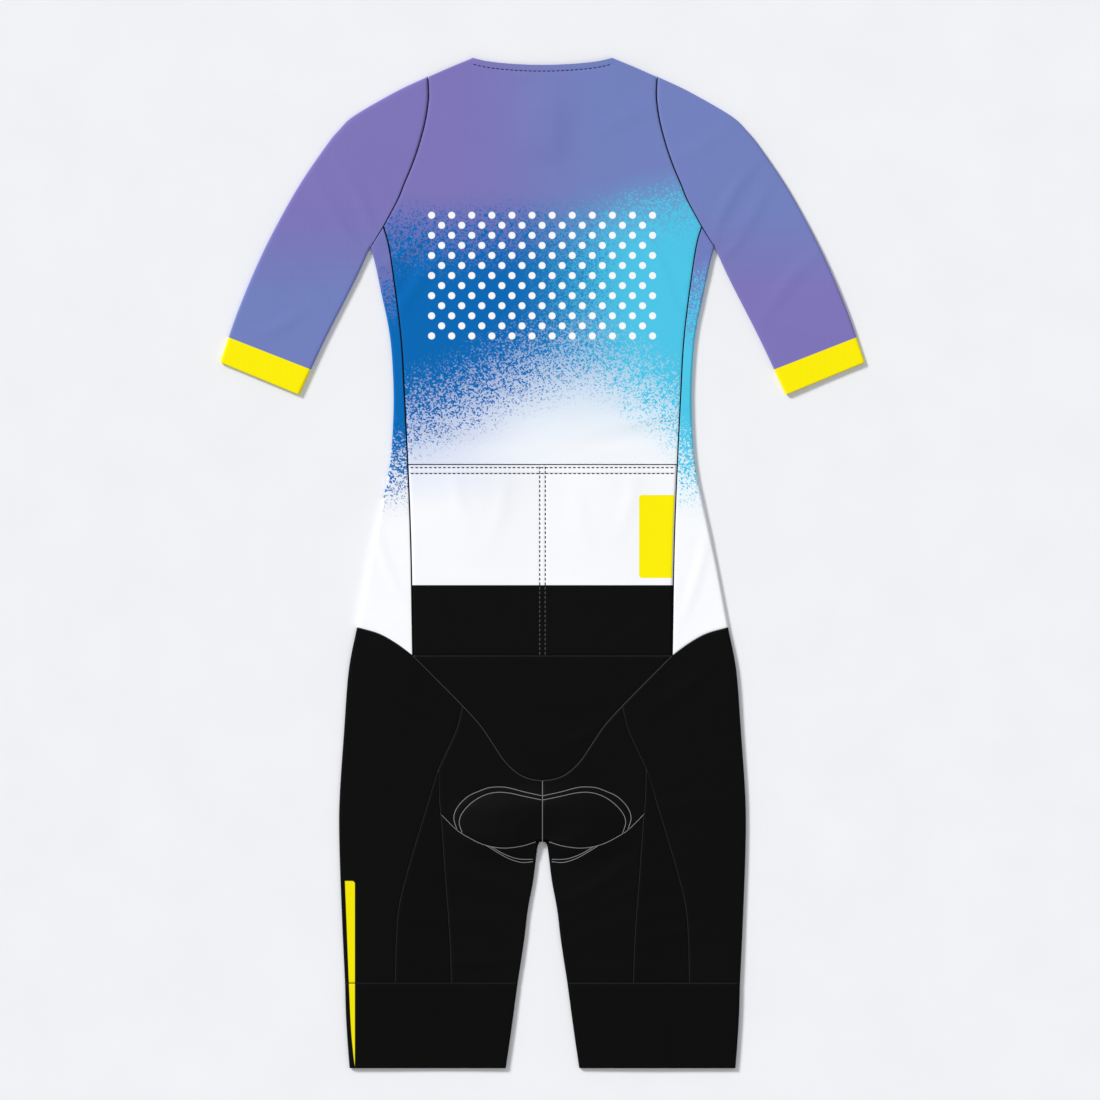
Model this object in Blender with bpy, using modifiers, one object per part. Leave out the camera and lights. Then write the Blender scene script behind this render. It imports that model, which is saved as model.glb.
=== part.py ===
"""Two-piece cycling skinsuit, laid flat on its front with its back up.

Sizes are in millimetres and become metres where a mesh is made. A place on the garment is (down, out): down
is the distance below the tops of the shoulders, and out is the distance from the centre line. The garment is
symmetric, so each table holds one side. +Y points to the neck, +X to the viewer's right, and Z = 0 is the
surface that the front lies on.
"""

import math
from functools import partial

import bmesh
import bpy

COLLECTION = "two_piece_skinsuit"
FRAME = "skinsuit_frame"
SIDES = (("left", -1), ("right", 1))
MM = 0.001
LENGTH = 1100.0  # tops of the shoulders to the hems of the legs
WALL = 1.2  # cloth with its seam allowances
STACK = 4.6  # height of the two layers where nothing lies between them
SEAM_GAP = 0.2  # each panel stops this far short of a seam line
SIDE_STEPS = 15  # rows along the side seams, shared by the panels on both sides of them
LIE_GAP = 0.3  # between cloths that lie on each other

NECK_HALF = 76.0
ARMHOLE_TOP = (19.0, 121.0)
WAIST_BACK = (651.0, 141.0)  # the jersey's hem at the side seam
BAND_TOP = 1007.0
CROTCH = 853.0
YOKE_POINT = 787.0
FRONT_NECK_DROP = 62.0
FRONT_TUCK = 46.0  # how far the shorts' fronts go up inside the jersey

ZIP_HALF = 3.0
ZIP_LIFT = 3.2  # room below the cloth for the slider, which faces the surface
ZIP_LIFT_REACH = 40.0
UPPER_LIFT_SHARE = 0.48  # how much of that lift the layer above it needs
SLIDER_DOWN = FRONT_NECK_DROP + 12.0

POCKET_TOP = 443.0
POCKET_HEM = 10.0
POCKET_SIDE_INSET = 1.5
POCKET_EASE = 1.6  # how far the pockets' mouths stand off the back

PAD_CENTRE = 835.0
PAD_HALF_WIDTH = 96.0
PAD_HALF_LENGTH = 41.0
PAD_POWER = 2.6  # 2 is an ellipse, more is squarer
PAD_RISE = 7.0
PAD_MARGIN = 7.0  # the pad stops this far short of the legs' inner folds

# Outlines and seams, each row (down, out).
NECK = [(0, 76), (4, 50), (8, 24), (9, 0)]
FRONT_NECK = [(FRONT_NECK_DROP, 0), (FRONT_NECK_DROP - 6, 24), (34, 52), (8, 71), (0, 76)]
SHOULDER = [(0, 76), (9, 98), ARMHOLE_TOP]
SLEEVE_OUTER = [
    (19, 121), (37, 160), (63, 205), (78, 221), (95, 235), (144, 268), (209, 303), (274, 331), (332, 351),
]
SLEEVE_INNER = [(206, 187), (242, 204), (307, 237), (367, 265)]
ARMHOLE_BACK = [(19, 121), (40, 124), (61, 126), (88, 131), (118, 142), (148, 153), (184, 173)]
ARMHOLE_UNDER = [(184, 173), (206, 187)]
BODY_SIDE = [
    (206, 187), (225, 182), (258, 175), (291, 168), (323, 164), (372, 162), (421, 164), (454, 168), (487, 175),
    (552, 189), (620, 202),
]
SHORTS_OUTER = [(620, 202), (667, 211), (732, 216), (808, 221), (863, 221), (944, 218), (1007, 215)]
BAND_OUTER = [(1007, 215), (1042, 214), (1075, 212), (1100, 210)]
LEG_INNER = [(853, 0.4), (855, 4), (863, 6), (895, 10), (928, 16), (961, 20), (1007, 27)]
BAND_INNER = [(1007, 27), (1059, 34), (1100, 40)]
SIDE_SEAM = [(184, 173), (201, 168), (231, 163), (303, 154), (371, 150), (454, 146), (536, 143), (651, 141)]
JERSEY_HEM = [(651, 141), (636, 163), (627, 180), (620, 202)]
YOKE = [(651, 141), (676, 116), (708, 87), (729, 68), (747, 54), (767, 41), (779, 27), (785, 14), (787, 0)]
SEAT_SIDE = [(708, 87), (730, 93), (757, 105), (774, 113)]
LEG_OUTER_SEAM = [(774, 113), (826, 129), (883, 146), (924, 156), (962, 159), (1007, 160)]
LEG_INNER_SEAM = [(774, 113), (808, 112), (829, 110), (887, 106), (954, 101), (1007, 99)]
CROTCH_SEAM = [(823, 111), (839, 95), (846, 85), (856, 65), (860, 44), (858, 23), (853, 0.4)]
FRONT_SIDE_SEAM = [(651, 141), (720, 146), (820, 152), (920, 158), (1007, 160)]
FRONT_INNER_SEAM = [(853, 4.5), (1007, 99)]


def smoothstep(low, high, value):
    """0 below low, 1 above high, and smooth between them."""
    share = min(max((value - low) / (high - low), 0.0), 1.0)
    return share * share * (3.0 - 2.0 * share)


def mix(a, b, share):
    """The value or place that lies at share between a and b."""
    if isinstance(a, tuple):
        return tuple(mix(p, q, share) for p, q in zip(a, b))
    return a + (b - a) * share


def spread(count, start=0.0, end=1.0):
    """Count + 1 even stations from start to end."""
    return [mix(start, end, index / count) for index in range(count + 1)]


class Path:
    """A line through one or more tables, smooth within each and with a corner where one meets the next."""

    STEPS = 6

    def __init__(self, *tables):
        self.points = [tuple(map(float, tables[0][0]))]
        corners = [0]
        for rows in tables:
            self.add_smooth(rows)
            corners.append(len(self.points) - 1)
        self.reach = [0.0]
        for start, end in zip(self.points, self.points[1:]):
            self.reach.append(self.reach[-1] + math.dist(start, end))
        self.length = self.reach[-1]
        self.corners = [self.reach[index] / self.length for index in corners]

    def add_smooth(self, rows):
        """Catmull-Rom points after the first row."""
        ends = [mix(rows[1], rows[0], 2.0)] + list(rows) + [mix(rows[-2], rows[-1], 2.0)]
        for before, start, end, after in zip(ends, ends[1:], ends[2:], ends[3:]):
            for step in range(1, self.STEPS + 1):
                share = step / self.STEPS
                self.points.append(tuple(
                    0.5 * (2 * s + (e - b) * share + (2 * b - 5 * s + 4 * e - a) * share**2
                           + (3 * s - b - 3 * e + a) * share**3)
                    for b, s, e, a in zip(before, start, end, after)
                ))

    def stations(self, *counts):
        """Shares with a number of even steps in each section, a seam gap short of both ends."""
        gap = SEAM_GAP / self.length
        shares = [gap]
        for start, end, count in zip(self.corners, self.corners[1:], counts):
            shares += spread(count, start, end)[1:]
        shares[-1] = 1.0 - gap
        return shares

    def at(self, share):
        wanted = min(max(share, 0.0), 1.0) * self.length
        for index in range(1, len(self.reach)):
            if self.reach[index] >= wanted:
                break
        step = self.reach[index] - self.reach[index - 1]
        return mix(self.points[index - 1], self.points[index], (wanted - self.reach[index - 1]) / step)

    def out_at(self, down):
        """How far out the line is at a distance down, for lines that only go down."""
        for start, end in zip(self.points, self.points[1:]):
            if down <= end[0]:
                break
        return mix(start, end, (down - start[0]) / (end[0] - start[0]))[1]


def line(start, end):
    return Path([start, end])


def patch(top, bottom, inner, outer, haste=1):
    """A Coons patch: inner and outer run down its sides, top and bottom run outwards across its ends.

    A haste over 1 gives the sections the bottom's form sooner.
    """
    corners = top.at(0), top.at(1), bottom.at(0), bottom.at(1)

    def place(across, along):
        form = 1.0 - (1.0 - along) ** haste
        ends = mix(top.at(across), bottom.at(across), form)
        sides = mix(inner.at(along), outer.at(along), across)
        flat = mix(mix(corners[0], corners[1], across), mix(corners[2], corners[3], across), form)
        return tuple(e + s - f for e, s, f in zip(ends, sides, flat))

    return place


INSEAM = Path(LEG_INNER, BAND_INNER)
ARMHOLE_LINE = Path(ARMHOLE_BACK, ARMHOLE_UNDER)
SIDE_SEAM_LINE = Path(SIDE_SEAM)


def pad_distance(down, out):
    """0 at the pad's centre and 1 on its stitched outline."""
    across = abs(out) / PAD_HALF_WIDTH
    along = abs(down - PAD_CENTRE) / PAD_HALF_LENGTH
    return (across**PAD_POWER + along**PAD_POWER) ** (1.0 / PAD_POWER)


def inseam_distance(down, out):
    """How far a place is from the legs' inner folds, or from the crotch above them."""
    if down < CROTCH:
        return math.hypot(CROTCH - down, out)
    return abs(out) - INSEAM.out_at(down)


def pad_bulge(down, out):
    """How far the pad lifts the upper layer."""
    rise = 1.0 - smoothstep(0.45, 1.15, pad_distance(down, out))
    near_fold = 0.3 + 0.7 * smoothstep(0.0, 34.0, inseam_distance(down, out))
    return PAD_RISE * rise * near_fold


def zip_lift(down, out):
    """How far the slider, below it, lifts the cloth."""
    away = math.hypot(max(abs(down - SLIDER_DOWN) - 10.0, 0.0), out)
    return ZIP_LIFT * (1.0 - smoothstep(6.0, ZIP_LIFT_REACH, away))


def upper(down, out):
    """Height of the upper layer's outer face."""
    return STACK + pad_bulge(down, out) + UPPER_LIFT_SHARE * zip_lift(down, out)


def lower(down, out):
    """Height of the lower layer's outer face, which lies on the surface."""
    return zip_lift(down, out)


FOLD_ANGLES = [math.radians(angle) for angle in (90.0, 45.0, 0.0)]


def fold(place, height, at_end):
    """The upper quarter of a rounded fold: places and heights from its top to its edge."""
    radius = height / 2.0
    length = math.dist(place(0.0), place(1.0))
    bends = []
    for angle in FOLD_ANGLES:
        share = radius * (1.0 - math.cos(angle)) / length
        bends.append((place(1.0 - share if at_end else share), radius + radius * math.sin(angle)))
    return bends


def wrap_row(top, under, top_count, under_count):
    """A section from a seam on the upper layer, round the outer fold, to a seam on the lower one.

    Both top and under run from 0 at their seam to 1 at the fold.
    """
    top_length = math.dist(top(0.0), top(1.0))
    under_length = math.dist(under(0.0), under(1.0))
    height = upper(*top(1.0 - STACK / 2.0 / top_length))
    radius = height / 2.0
    flats = spread(top_count, SEAM_GAP / top_length, 1.0 - radius / top_length)[:-1]
    row = [(top(t), upper(*top(t))) for t in flats]
    row += fold(top, height, True)
    row += [(place, height - z) for place, z in reversed(fold(under, height, True)[:-1])]
    flats = spread(under_count, 1.0 - radius / under_length, SEAM_GAP / under_length)[1:]
    row += [(under(t), 0.0) for t in flats]
    return row


def tube_row(place, flats):
    """A closed flattened ring: across the upper layer, round one fold, back below, and round the other."""
    near = fold(place, STACK, False)
    far = fold(place, STACK, True)
    row = list(reversed(near)) + [(place(t), STACK) for t in flats] + far
    row += [(p, STACK - z) for p, z in reversed(far[:-1])]
    row += [(place(t), 0.0) for t in reversed(flats)]
    row += [(p, STACK - z) for p, z in near[:-1]]
    return row


def to_metres(place, z, side):
    down, out = place
    return (side * out * MM, (LENGTH / 2.0 - down) * MM, z * MM)


def new_object(name, bm, material):
    """Turns a bmesh into an object with its own material, and frees it."""
    mesh = bpy.data.meshes.new(name)
    bm.to_mesh(mesh)
    bm.free()
    mesh.materials.append(material)
    mesh.shade_smooth()
    item = bpy.data.objects.new(name, mesh)
    bpy.data.collections[COLLECTION].objects.link(item)
    item.parent = bpy.data.objects[FRAME]
    return item


def grid(bm, rows, side, closed=False):
    """Quads between rows of (place, height)."""
    points = [[bm.verts.new(to_metres(place, z, side)) for place, z in row] for row in rows]
    faces = []
    for first, second in zip(points, points[1:]):
        count = len(first)
        for index in range(count if closed else count - 1):
            following = (index + 1) % count
            faces.append(bm.faces.new((first[index], second[index], second[following], first[following])))
    return points, faces


def shell(name, rows, material, side=1, closed=False, faces_up=True):
    """A cloth panel: its outer face from rows of (place, height), given its wall by Solidify."""
    bm = bmesh.new()
    _, faces = grid(bm, rows, side, closed)
    bm.normal_update()
    column = len(rows[0]) // 4 if closed else 0
    if (faces[column].normal.z > 0.0) != faces_up:
        bmesh.ops.reverse_faces(bm, faces=bm.faces)
    item = new_object(name, bm, material)
    thicken = item.modifiers.new("wall", "SOLIDIFY")
    thicken.thickness = WALL * MM
    thicken.offset = -1.0


def flat_rows(place, across, along, height):
    """Rows of a panel on one layer."""
    return [[(place(t, v), height(*place(t, v))) for t in across] for v in along]


def fabric(name, colour, roughness):
    """A Principled material for one of the cloths."""
    material = bpy.data.materials.new(name)
    material.use_nodes = True
    shader = material.node_tree.nodes["Principled BSDF"]
    shader.inputs["Base Color"].default_value = (*colour, 1.0)
    shader.inputs["Roughness"].default_value = roughness
    shader.inputs["Metallic"].default_value = 0.0
    return material


def shoulder_sink(distance, out):
    """How far a layer bends towards the other one near the shoulder's edge: none at the open neck."""
    radius = STACK / 2.0
    if distance >= radius:
        return 0.0
    rounded = math.sqrt(radius**2 - (radius - distance) ** 2)
    return (rounded - radius + 0.15) * smoothstep(NECK_HALF - 1.0, NECK_HALF + 4.0, out)


ARMHOLE_FLATS = spread(6, 0.0, ARMHOLE_LINE.corners[1])[1:] + [0.945]


def body_side_places():
    """Where the rows of a body panel end: down the armhole and then down the side seam."""
    places = [ARMHOLE_LINE.at(share) for share in ARMHOLE_FLATS[:-1]]
    return places + [SIDE_SEAM_LINE.at(share) for share in SIDE_SEAM_LINE.stations(SIDE_STEPS)[1:]]


def hung_rows(top_edge, inner_out, columns, height, lift_sign):
    """A body panel hung from the neck and shoulders, whose columns run from its inner edge to its side."""
    radius = STACK / 2.0
    places = body_side_places()
    rows = []
    for drop in (SEAM_GAP, SEAM_GAP + 0.3 * radius, SEAM_GAP + radius):
        side_out = ARMHOLE_LINE.out_at(ARMHOLE_TOP[0] + drop)
        row = []
        for share in columns:
            out = mix(inner_out, side_out, share)
            place = (top_edge(out) + drop, out)
            row.append((place, height(*place) + lift_sign * shoulder_sink(drop, out)))
        rows.append(row)
    bottom = places[-1][0]
    for side_down, side_out in places:
        fade = (side_down - ARMHOLE_TOP[0]) / (bottom - ARMHOLE_TOP[0])
        row = []
        for share in columns:
            edge_down = top_edge(mix(inner_out, ARMHOLE_TOP[1], share))
            place = (mix(edge_down, bottom, fade), mix(inner_out, side_out, share))
            row.append((place, height(*place)))
        rows.append(row)
    return rows


def edge_function(*tables):
    """How far down the top edge is at a distance out."""
    rows = []
    for table in tables:
        rows += [(out, down) for down, out in table]
    path = Path(sorted(set(rows)))
    return lambda out: path.out_at(min(max(out, path.points[0][0]), path.points[-1][0]))


def build_back_body(cloth):
    edge = edge_function(NECK, SHOULDER)
    columns = spread(8, 0.0, 1.0 - SEAM_GAP / WAIST_BACK[1])
    rows = []
    for row in hung_rows(edge, 0.0, columns, upper, 1):
        mirrored = [((down, -out), z) for (down, out), z in reversed(row[1:])]
        rows.append(mirrored + row)
    shell("back_body", rows, cloth)


def build_jersey_fronts(cloth):
    edge = edge_function(FRONT_NECK, SHOULDER)
    columns = spread(7, 0.0, 1.0 - SEAM_GAP / WAIST_BACK[1])
    for label, side in SIDES:
        rows = hung_rows(edge, ZIP_HALF + LIE_GAP, columns, lower, -1)
        shell("jersey_front_" + label, rows, cloth, side, faces_up=False)


def build_wrapped(name, cloth, top_place, under_place, stations, top_count, under_count):
    """A left and a right panel that go round a fold from the upper layer to the lower one."""
    sections = []
    for v in stations:
        top = partial(top_place, along=v)
        under = partial(under_place, along=v)
        sections.append(wrap_row(top, under, top_count, under_count))
    for label, side in SIDES:
        shell(f"{name}_{label}", sections, cloth, side)


def build_side_panels(cloth):
    place = patch(Path(ARMHOLE_UNDER), Path(JERSEY_HEM), SIDE_SEAM_LINE, Path(BODY_SIDE))
    build_wrapped("side_panel", cloth, place, place, SIDE_SEAM_LINE.stations(SIDE_STEPS), 4, 3)


def build_shorts_sides(cloth):
    seam = Path(YOKE[:3], SEAT_SIDE, LEG_OUTER_SEAM)
    outer = Path(SHORTS_OUTER)
    top = patch(Path(JERSEY_HEM), line(LEG_OUTER_SEAM[-1], SHORTS_OUTER[-1]), seam, outer)
    under = patch(Path(JERSEY_HEM), line(FRONT_SIDE_SEAM[-1], SHORTS_OUTER[-1]), Path(FRONT_SIDE_SEAM), outer)
    build_wrapped("shorts_side", cloth, top, under, seam.stations(4, 4, 10), 4, 3)


def build_inner_legs(cloth):
    fold_line = Path(LEG_INNER)
    seam = Path([CROTCH_SEAM[0]] + LEG_INNER_SEAM[2:])
    top = patch(Path(CROTCH_SEAM), line(LEG_INNER_SEAM[-1], LEG_INNER[-1]), seam, fold_line)
    under = patch(
        line(FRONT_INNER_SEAM[0], LEG_INNER[0]), line(FRONT_INNER_SEAM[-1], LEG_INNER[-1]),
        Path(FRONT_INNER_SEAM), fold_line,
    )
    build_wrapped("inner_leg", cloth, top, under, fold_line.stations(12), 9, 3)


def build_tubes(name, cloth, place, stations, flats):
    """A left and a right sleeve or leg band."""
    sections = [tube_row(partial(place, along=v), flats) for v in stations]
    for label, side in SIDES:
        shell(f"{name}_{label}", sections, cloth, side, closed=True)


def build_sleeves(cloth):
    def clear(row):
        return row[0] - SEAM_GAP, row[1] + 2.0 * SEAM_GAP

    armhole = Path([clear(row) for row in ARMHOLE_BACK], [clear(row) for row in ARMHOLE_UNDER])
    inner = Path([clear(SLEEVE_INNER[0])] + SLEEVE_INNER[1:])
    cuff = line(SLEEVE_OUTER[-1], SLEEVE_INNER[-1])
    place = patch(armhole, cuff, Path([clear(SLEEVE_OUTER[0])] + SLEEVE_OUTER[1:]), inner, haste=8)
    build_tubes("sleeve", cloth, place, inner.stations(10), ARMHOLE_FLATS)


def build_leg_bands(cloth):
    top = line(BAND_INNER[0], BAND_OUTER[0])
    hem = line(BAND_INNER[-1], BAND_OUTER[-1])
    inner = Path(BAND_INNER)
    place = patch(top, hem, inner, Path(BAND_OUTER))
    build_tubes("leg_band", cloth, place, inner.stations(4), spread(6)[1:-1])


def build_back_yoke(cloth):
    depth = edge_function(YOKE)
    half = WAIST_BACK[1] - 2.5
    rows = []
    for v in spread(6):
        row = []
        for t in spread(20, -1.0, 1.0):
            out = t * half
            top = WAIST_BACK[0] + SEAM_GAP
            bottom = depth(abs(out)) - SEAM_GAP * 2.0
            place = (mix(top, bottom, v), out)
            row.append((place, upper(*place)))
        rows.append(row)
    shell("back_yoke", rows, cloth)


def build_seat(cloth):
    top = Path(YOKE[:1:-1])
    crotch = Path([(CROTCH - 3.0, 0)] + CROTCH_SEAM[-2::-1])
    centre = line((YOKE_POINT, 0), (CROTCH - 3.0, 0))
    outer = Path(SEAT_SIDE, [SEAT_SIDE[-1], LEG_INNER_SEAM[1], CROTCH_SEAM[0]])
    place = patch(top, crotch, centre, outer)
    for label, side in SIDES:
        rows = flat_rows(place, spread(12, 0.004, 0.996), outer.stations(5, 4)[:-1] + [0.994], upper)
        shell("seat_" + label, rows, cloth, side)


def build_back_legs(cloth):
    apex = LEG_OUTER_SEAM[0][0] + 12.0
    outer = Path([(apex, 116.2)] + LEG_OUTER_SEAM[1:])
    inner = Path([(apex, 112.9)] + LEG_INNER_SEAM[1:])
    place = patch(
        line(inner.at(0), outer.at(0)), line(LEG_INNER_SEAM[-1], LEG_OUTER_SEAM[-1]), inner, outer,
    )
    rows = []
    for v in spread(12, 0.0, 0.999):
        gap = 0.35 / math.dist(place(0.0, v), place(1.0, v))
        rows += flat_rows(place, spread(3, gap, 1.0 - gap), [v], upper)
    for label, side in SIDES:
        shell("back_leg_" + label, rows, cloth, side)


def build_shorts_fronts(cloth):
    """The shorts' fronts, whose tops go up inside the jersey's hem."""
    hem = WAIST_BACK[0]
    side_seam = Path(FRONT_SIDE_SEAM)
    inner_seam = Path(FRONT_INNER_SEAM)

    def height(down, out):
        return (WALL + LIE_GAP) * (1.0 - smoothstep(hem, hem + 16.0, down))

    downs = [hem - FRONT_TUCK, hem - FRONT_TUCK / 2.0, hem, hem + 8.0, hem + 16.0] + spread(5, hem + 40.0, CROTCH - 4.0)
    downs += spread(6, CROTCH, BAND_TOP - SEAM_GAP)
    for label, side in SIDES:
        rows = []
        for down in downs:
            if down < hem + SEAM_GAP:
                outer = WAIST_BACK[1] - 3.0
            else:
                outer = side_seam.out_at(down) - SEAM_GAP * 2.0
            inner = SEAM_GAP if down < CROTCH else inner_seam.out_at(down) + SEAM_GAP * 2.0
            row = [((down, mix(inner, outer, t)), height(down, 0.0)) for t in spread(7)]
            rows.append(row)
        shell("shorts_front_" + label, rows, cloth, side, faces_up=False)


def build_pocket_panel(cloth):
    """One cloth with a thicker turned hem, held down along its middle, its sides and its foot."""
    hem_extra = 0.7

    def half_width(down):
        return SIDE_SEAM_LINE.out_at(down) - POCKET_SIDE_INSET

    def ease(down, out):
        fade = 1.0 - smoothstep(POCKET_TOP, POCKET_TOP + 120.0, down)
        share = abs(out) / half_width(down)
        return POCKET_EASE * fade * math.sin(math.pi * share) ** 2

    downs = [POCKET_TOP, POCKET_TOP + POCKET_HEM - 1.0, POCKET_TOP + POCKET_HEM]
    downs += spread(7, POCKET_TOP + 30.0, WAIST_BACK[0] - 1.0)
    rows = []
    for index, down in enumerate(downs):
        thick = hem_extra if index < 2 else 0.0
        row = []
        for t in spread(20, -1.0, 1.0):
            out = t * half_width(down)
            row.append(((down, out), upper(down, out) + LIE_GAP + WALL + thick + ease(down, out)))
        rows.append(row)
    build_slab("pocket_panel", rows, lambda place, z, index: z - WALL - (hem_extra if index < 2 else 0.0), cloth)


def build_slab(name, rows, underside, cloth):
    """A closed piece between rows of an upper face and the underside below each of its points."""
    bm = bmesh.new()
    below = [[(place, underside(place, z, index)) for place, z in row] for index, row in enumerate(rows)]
    top, _ = grid(bm, rows, 1)
    bottom, _ = grid(bm, below, 1)
    rims = []
    for points in (top, bottom):
        left = [row[0] for row in points]
        right = [row[-1] for row in points]
        rims.append(points[0] + right[1:] + points[-1][-2::-1] + left[-2:0:-1])
    count = len(rims[0])
    for index in range(count):
        following = (index + 1) % count
        bm.faces.new((rims[0][index], rims[0][following], rims[1][following], rims[1][index]))
    bmesh.ops.recalc_face_normals(bm, faces=bm.faces)
    new_object(name, bm, cloth)


def build_seat_pad(foam):
    """The pad, folded through the crotch: it fills the room between the layers inside its outline."""
    steps = 16
    rim_drop = 1.1
    rows = []
    for along in spread(8, -0.94, 0.94):
        row = []
        for across in spread(steps, -0.94, 0.94):
            reach = (1.0 - abs(along) ** PAD_POWER) ** (1.0 / PAD_POWER)
            out = across * PAD_HALF_WIDTH * reach
            down = PAD_CENTRE + along * PAD_HALF_LENGTH
            limit = CROTCH - PAD_MARGIN * 1.2
            if down > limit:
                allowed = INSEAM.out_at(max(down, CROTCH)) + PAD_MARGIN
                down = mix(limit, down, smoothstep(allowed * 0.4, allowed * 2.2, abs(out)))
            rim = smoothstep(0.7, 0.95, pad_distance(down, out))
            ceiling = upper(down, out) - WALL - LIE_GAP * 3.0
            row.append(((down, out), ceiling - rim_drop * rim))
        rows.append(row)
    floor = WALL + LIE_GAP
    build_slab("seat_pad", rows, lambda place, z, index: floor, foam)


def build_zip(tape, metal, cord):
    """The closed front zip, its slider and the soft tape loop that pulls it."""
    top = FRONT_NECK_DROP + 3.0
    lift_end = SLIDER_DOWN + ZIP_LIFT_REACH + 10.0
    rows = []
    for down in spread(6, top, lift_end) + [WAIST_BACK[0] - SEAM_GAP]:
        rows.append([((down, out), lower(down, out)) for out in (-ZIP_HALF, 0.0, ZIP_HALF)])
    shell("front_zip", rows, tape, faces_up=False)

    plate = ZIP_LIFT - LIE_GAP
    slider_rows = []
    for share, half in ((0.0, 2.4), (0.25, 4.2), (0.6, 4.0), (1.0, 2.8)):
        down = mix(SLIDER_DOWN - 5.0, SLIDER_DOWN + 5.0, share)
        slider_rows.append([((down, half * t), plate) for t in (-1.0, -0.4, 0.4, 1.0)])
    build_slab("zip_slider", slider_rows, lambda place, z, index: z - 1.3, metal)

    pull_rows = []
    for down in spread(4, SLIDER_DOWN - 1.0, SLIDER_DOWN + 17.0):
        pull_rows.append([((down, out), plate - 1.3 - LIE_GAP) for out in (-2.5, 0.0, 2.5)])
    build_slab("zip_pull", pull_rows, lambda place, z, index: z - 1.0, cord)


def main():
    for item in list(bpy.data.objects):
        bpy.data.objects.remove(item, do_unlink=True)
    collection = bpy.data.collections.new(COLLECTION)
    bpy.context.scene.collection.children.link(collection)
    collection.objects.link(bpy.data.objects.new(FRAME, None))

    violet = fabric("violet_knit", (0.22, 0.18, 0.47), 0.7)
    blue = fabric("blue_knit", (0.0, 0.14, 0.45), 0.7)
    white = fabric("white_knit", (0.85, 0.86, 0.9), 0.7)
    black = fabric("black_knit", (0.008, 0.008, 0.009), 0.6)
    foam = fabric("pad_foam", (0.05, 0.05, 0.06), 0.9)
    metal = fabric("slider_enamel", (0.02, 0.02, 0.02), 0.4)

    build_back_body(violet)
    build_jersey_fronts(blue)
    build_side_panels(white)
    build_sleeves(violet)
    build_pocket_panel(white)
    build_back_yoke(black)
    build_seat(black)
    build_shorts_sides(black)
    build_back_legs(black)
    build_inner_legs(black)
    build_leg_bands(black)
    build_shorts_fronts(black)
    build_seat_pad(foam)
    build_zip(black, metal, black)


main()
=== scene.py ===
"""Looks of the two-piece cycling skinsuit, laid flat on its front with its back up.

Sizes are in millimetres until a mesh is made. A place is (down, out): down is the distance below the tops of
the shoulders, and out is the distance from the centre line. A point is (x, y, z): +x to the viewer's right,
+y to the neck and z = 0 on the surface that the garment lies on. The cut is the same on both sides, so tables
hold one side, but the creases and the print are not mirrored.
"""

import bisect
import math
from collections import namedtuple
from functools import partial

import bmesh
import bpy
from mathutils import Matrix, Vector


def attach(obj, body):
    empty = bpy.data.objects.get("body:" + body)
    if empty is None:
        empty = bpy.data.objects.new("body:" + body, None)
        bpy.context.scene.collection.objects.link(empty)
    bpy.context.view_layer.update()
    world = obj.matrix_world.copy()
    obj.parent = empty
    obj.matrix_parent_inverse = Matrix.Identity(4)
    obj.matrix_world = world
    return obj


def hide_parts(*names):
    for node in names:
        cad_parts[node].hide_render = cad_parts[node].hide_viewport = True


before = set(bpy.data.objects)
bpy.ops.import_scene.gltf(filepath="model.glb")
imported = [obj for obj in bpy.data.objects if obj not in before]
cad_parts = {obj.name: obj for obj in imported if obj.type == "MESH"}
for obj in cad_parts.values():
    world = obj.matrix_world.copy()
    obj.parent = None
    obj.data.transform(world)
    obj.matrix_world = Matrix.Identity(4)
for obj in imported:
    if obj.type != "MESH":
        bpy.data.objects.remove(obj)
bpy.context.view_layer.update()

SIDES = (("left", -1), ("right", 1))
MM = 0.001
LENGTH = 1100.0
KNIT = 0.85  # thickness of the cloth that shows
STACK = 4.6
SEAM_GAP = 0.2
LIE_GAP = 0.3
RIDGE_STEP = 2.5
JERSEY_WALL = 1.2  # room for the jersey's hem over the shorts' fronts
NARROWEST_SHEET = 0.01  # metres: anything narrower is a tape

NECK_HALF = 76.0
NECK_STITCHES = 7.0
ARMHOLE_TOP = (20.5, 124.2)
WAIST_BACK = (651.0, 141.0)
BAND_TOP = 1007.0
CROTCH = 853.0
YOKE_POINT = 787.0
FRONT_NECK_DROP = 62.0
FRONT_TUCK = 46.0

ZIP_HALF = 3.0
ZIP_LIFT = 3.2
ZIP_LIFT_REACH = 40.0
UPPER_LIFT_SHARE = 0.48
SLIDER_DOWN = FRONT_NECK_DROP + 12.0
SLIDER_PLATE = ZIP_LIFT - LIE_GAP
COIL_PITCH = 1.1
PULL_HALF = 2.5
PULL_DEPTH = 2.55  # how far the pull lies below the slider's plate
TAPE_COLUMNS = (-3.0, -2.7, -2.0, -1.3, -0.6, 0.0, 0.6, 1.3, 2.0, 2.7, 3.0)
# Each row (distance down from the slider's middle, half of the width).
SLIDER_OUTLINE = [(-5.0, 2.3), (-4.0, 3.4), (-2.4, 4.1), (-0.5, 4.15), (1.5, 3.9), (3.4, 3.3), (5.0, 2.7)]
# Each row (scale of the outline, height below the plate).
SLIDER_LEVELS = [(1.0, 0.0), (1.0, 0.75), (0.93, 1.0), (0.8, 1.02), (0.72, 0.88)]
# Each row (distance down from the slider's middle, height below the plate).
SLIDER_BRIDGE = [(-3.2, 0.9), (-2.6, 1.22), (-1.0, 1.3), (1.0, 1.3), (2.6, 1.22), (3.2, 0.9)]
BRIDGE_SECTION = [(-0.8, 0.0), (-0.8, 0.26), (0.8, 0.26), (0.8, 0.0)]

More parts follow.
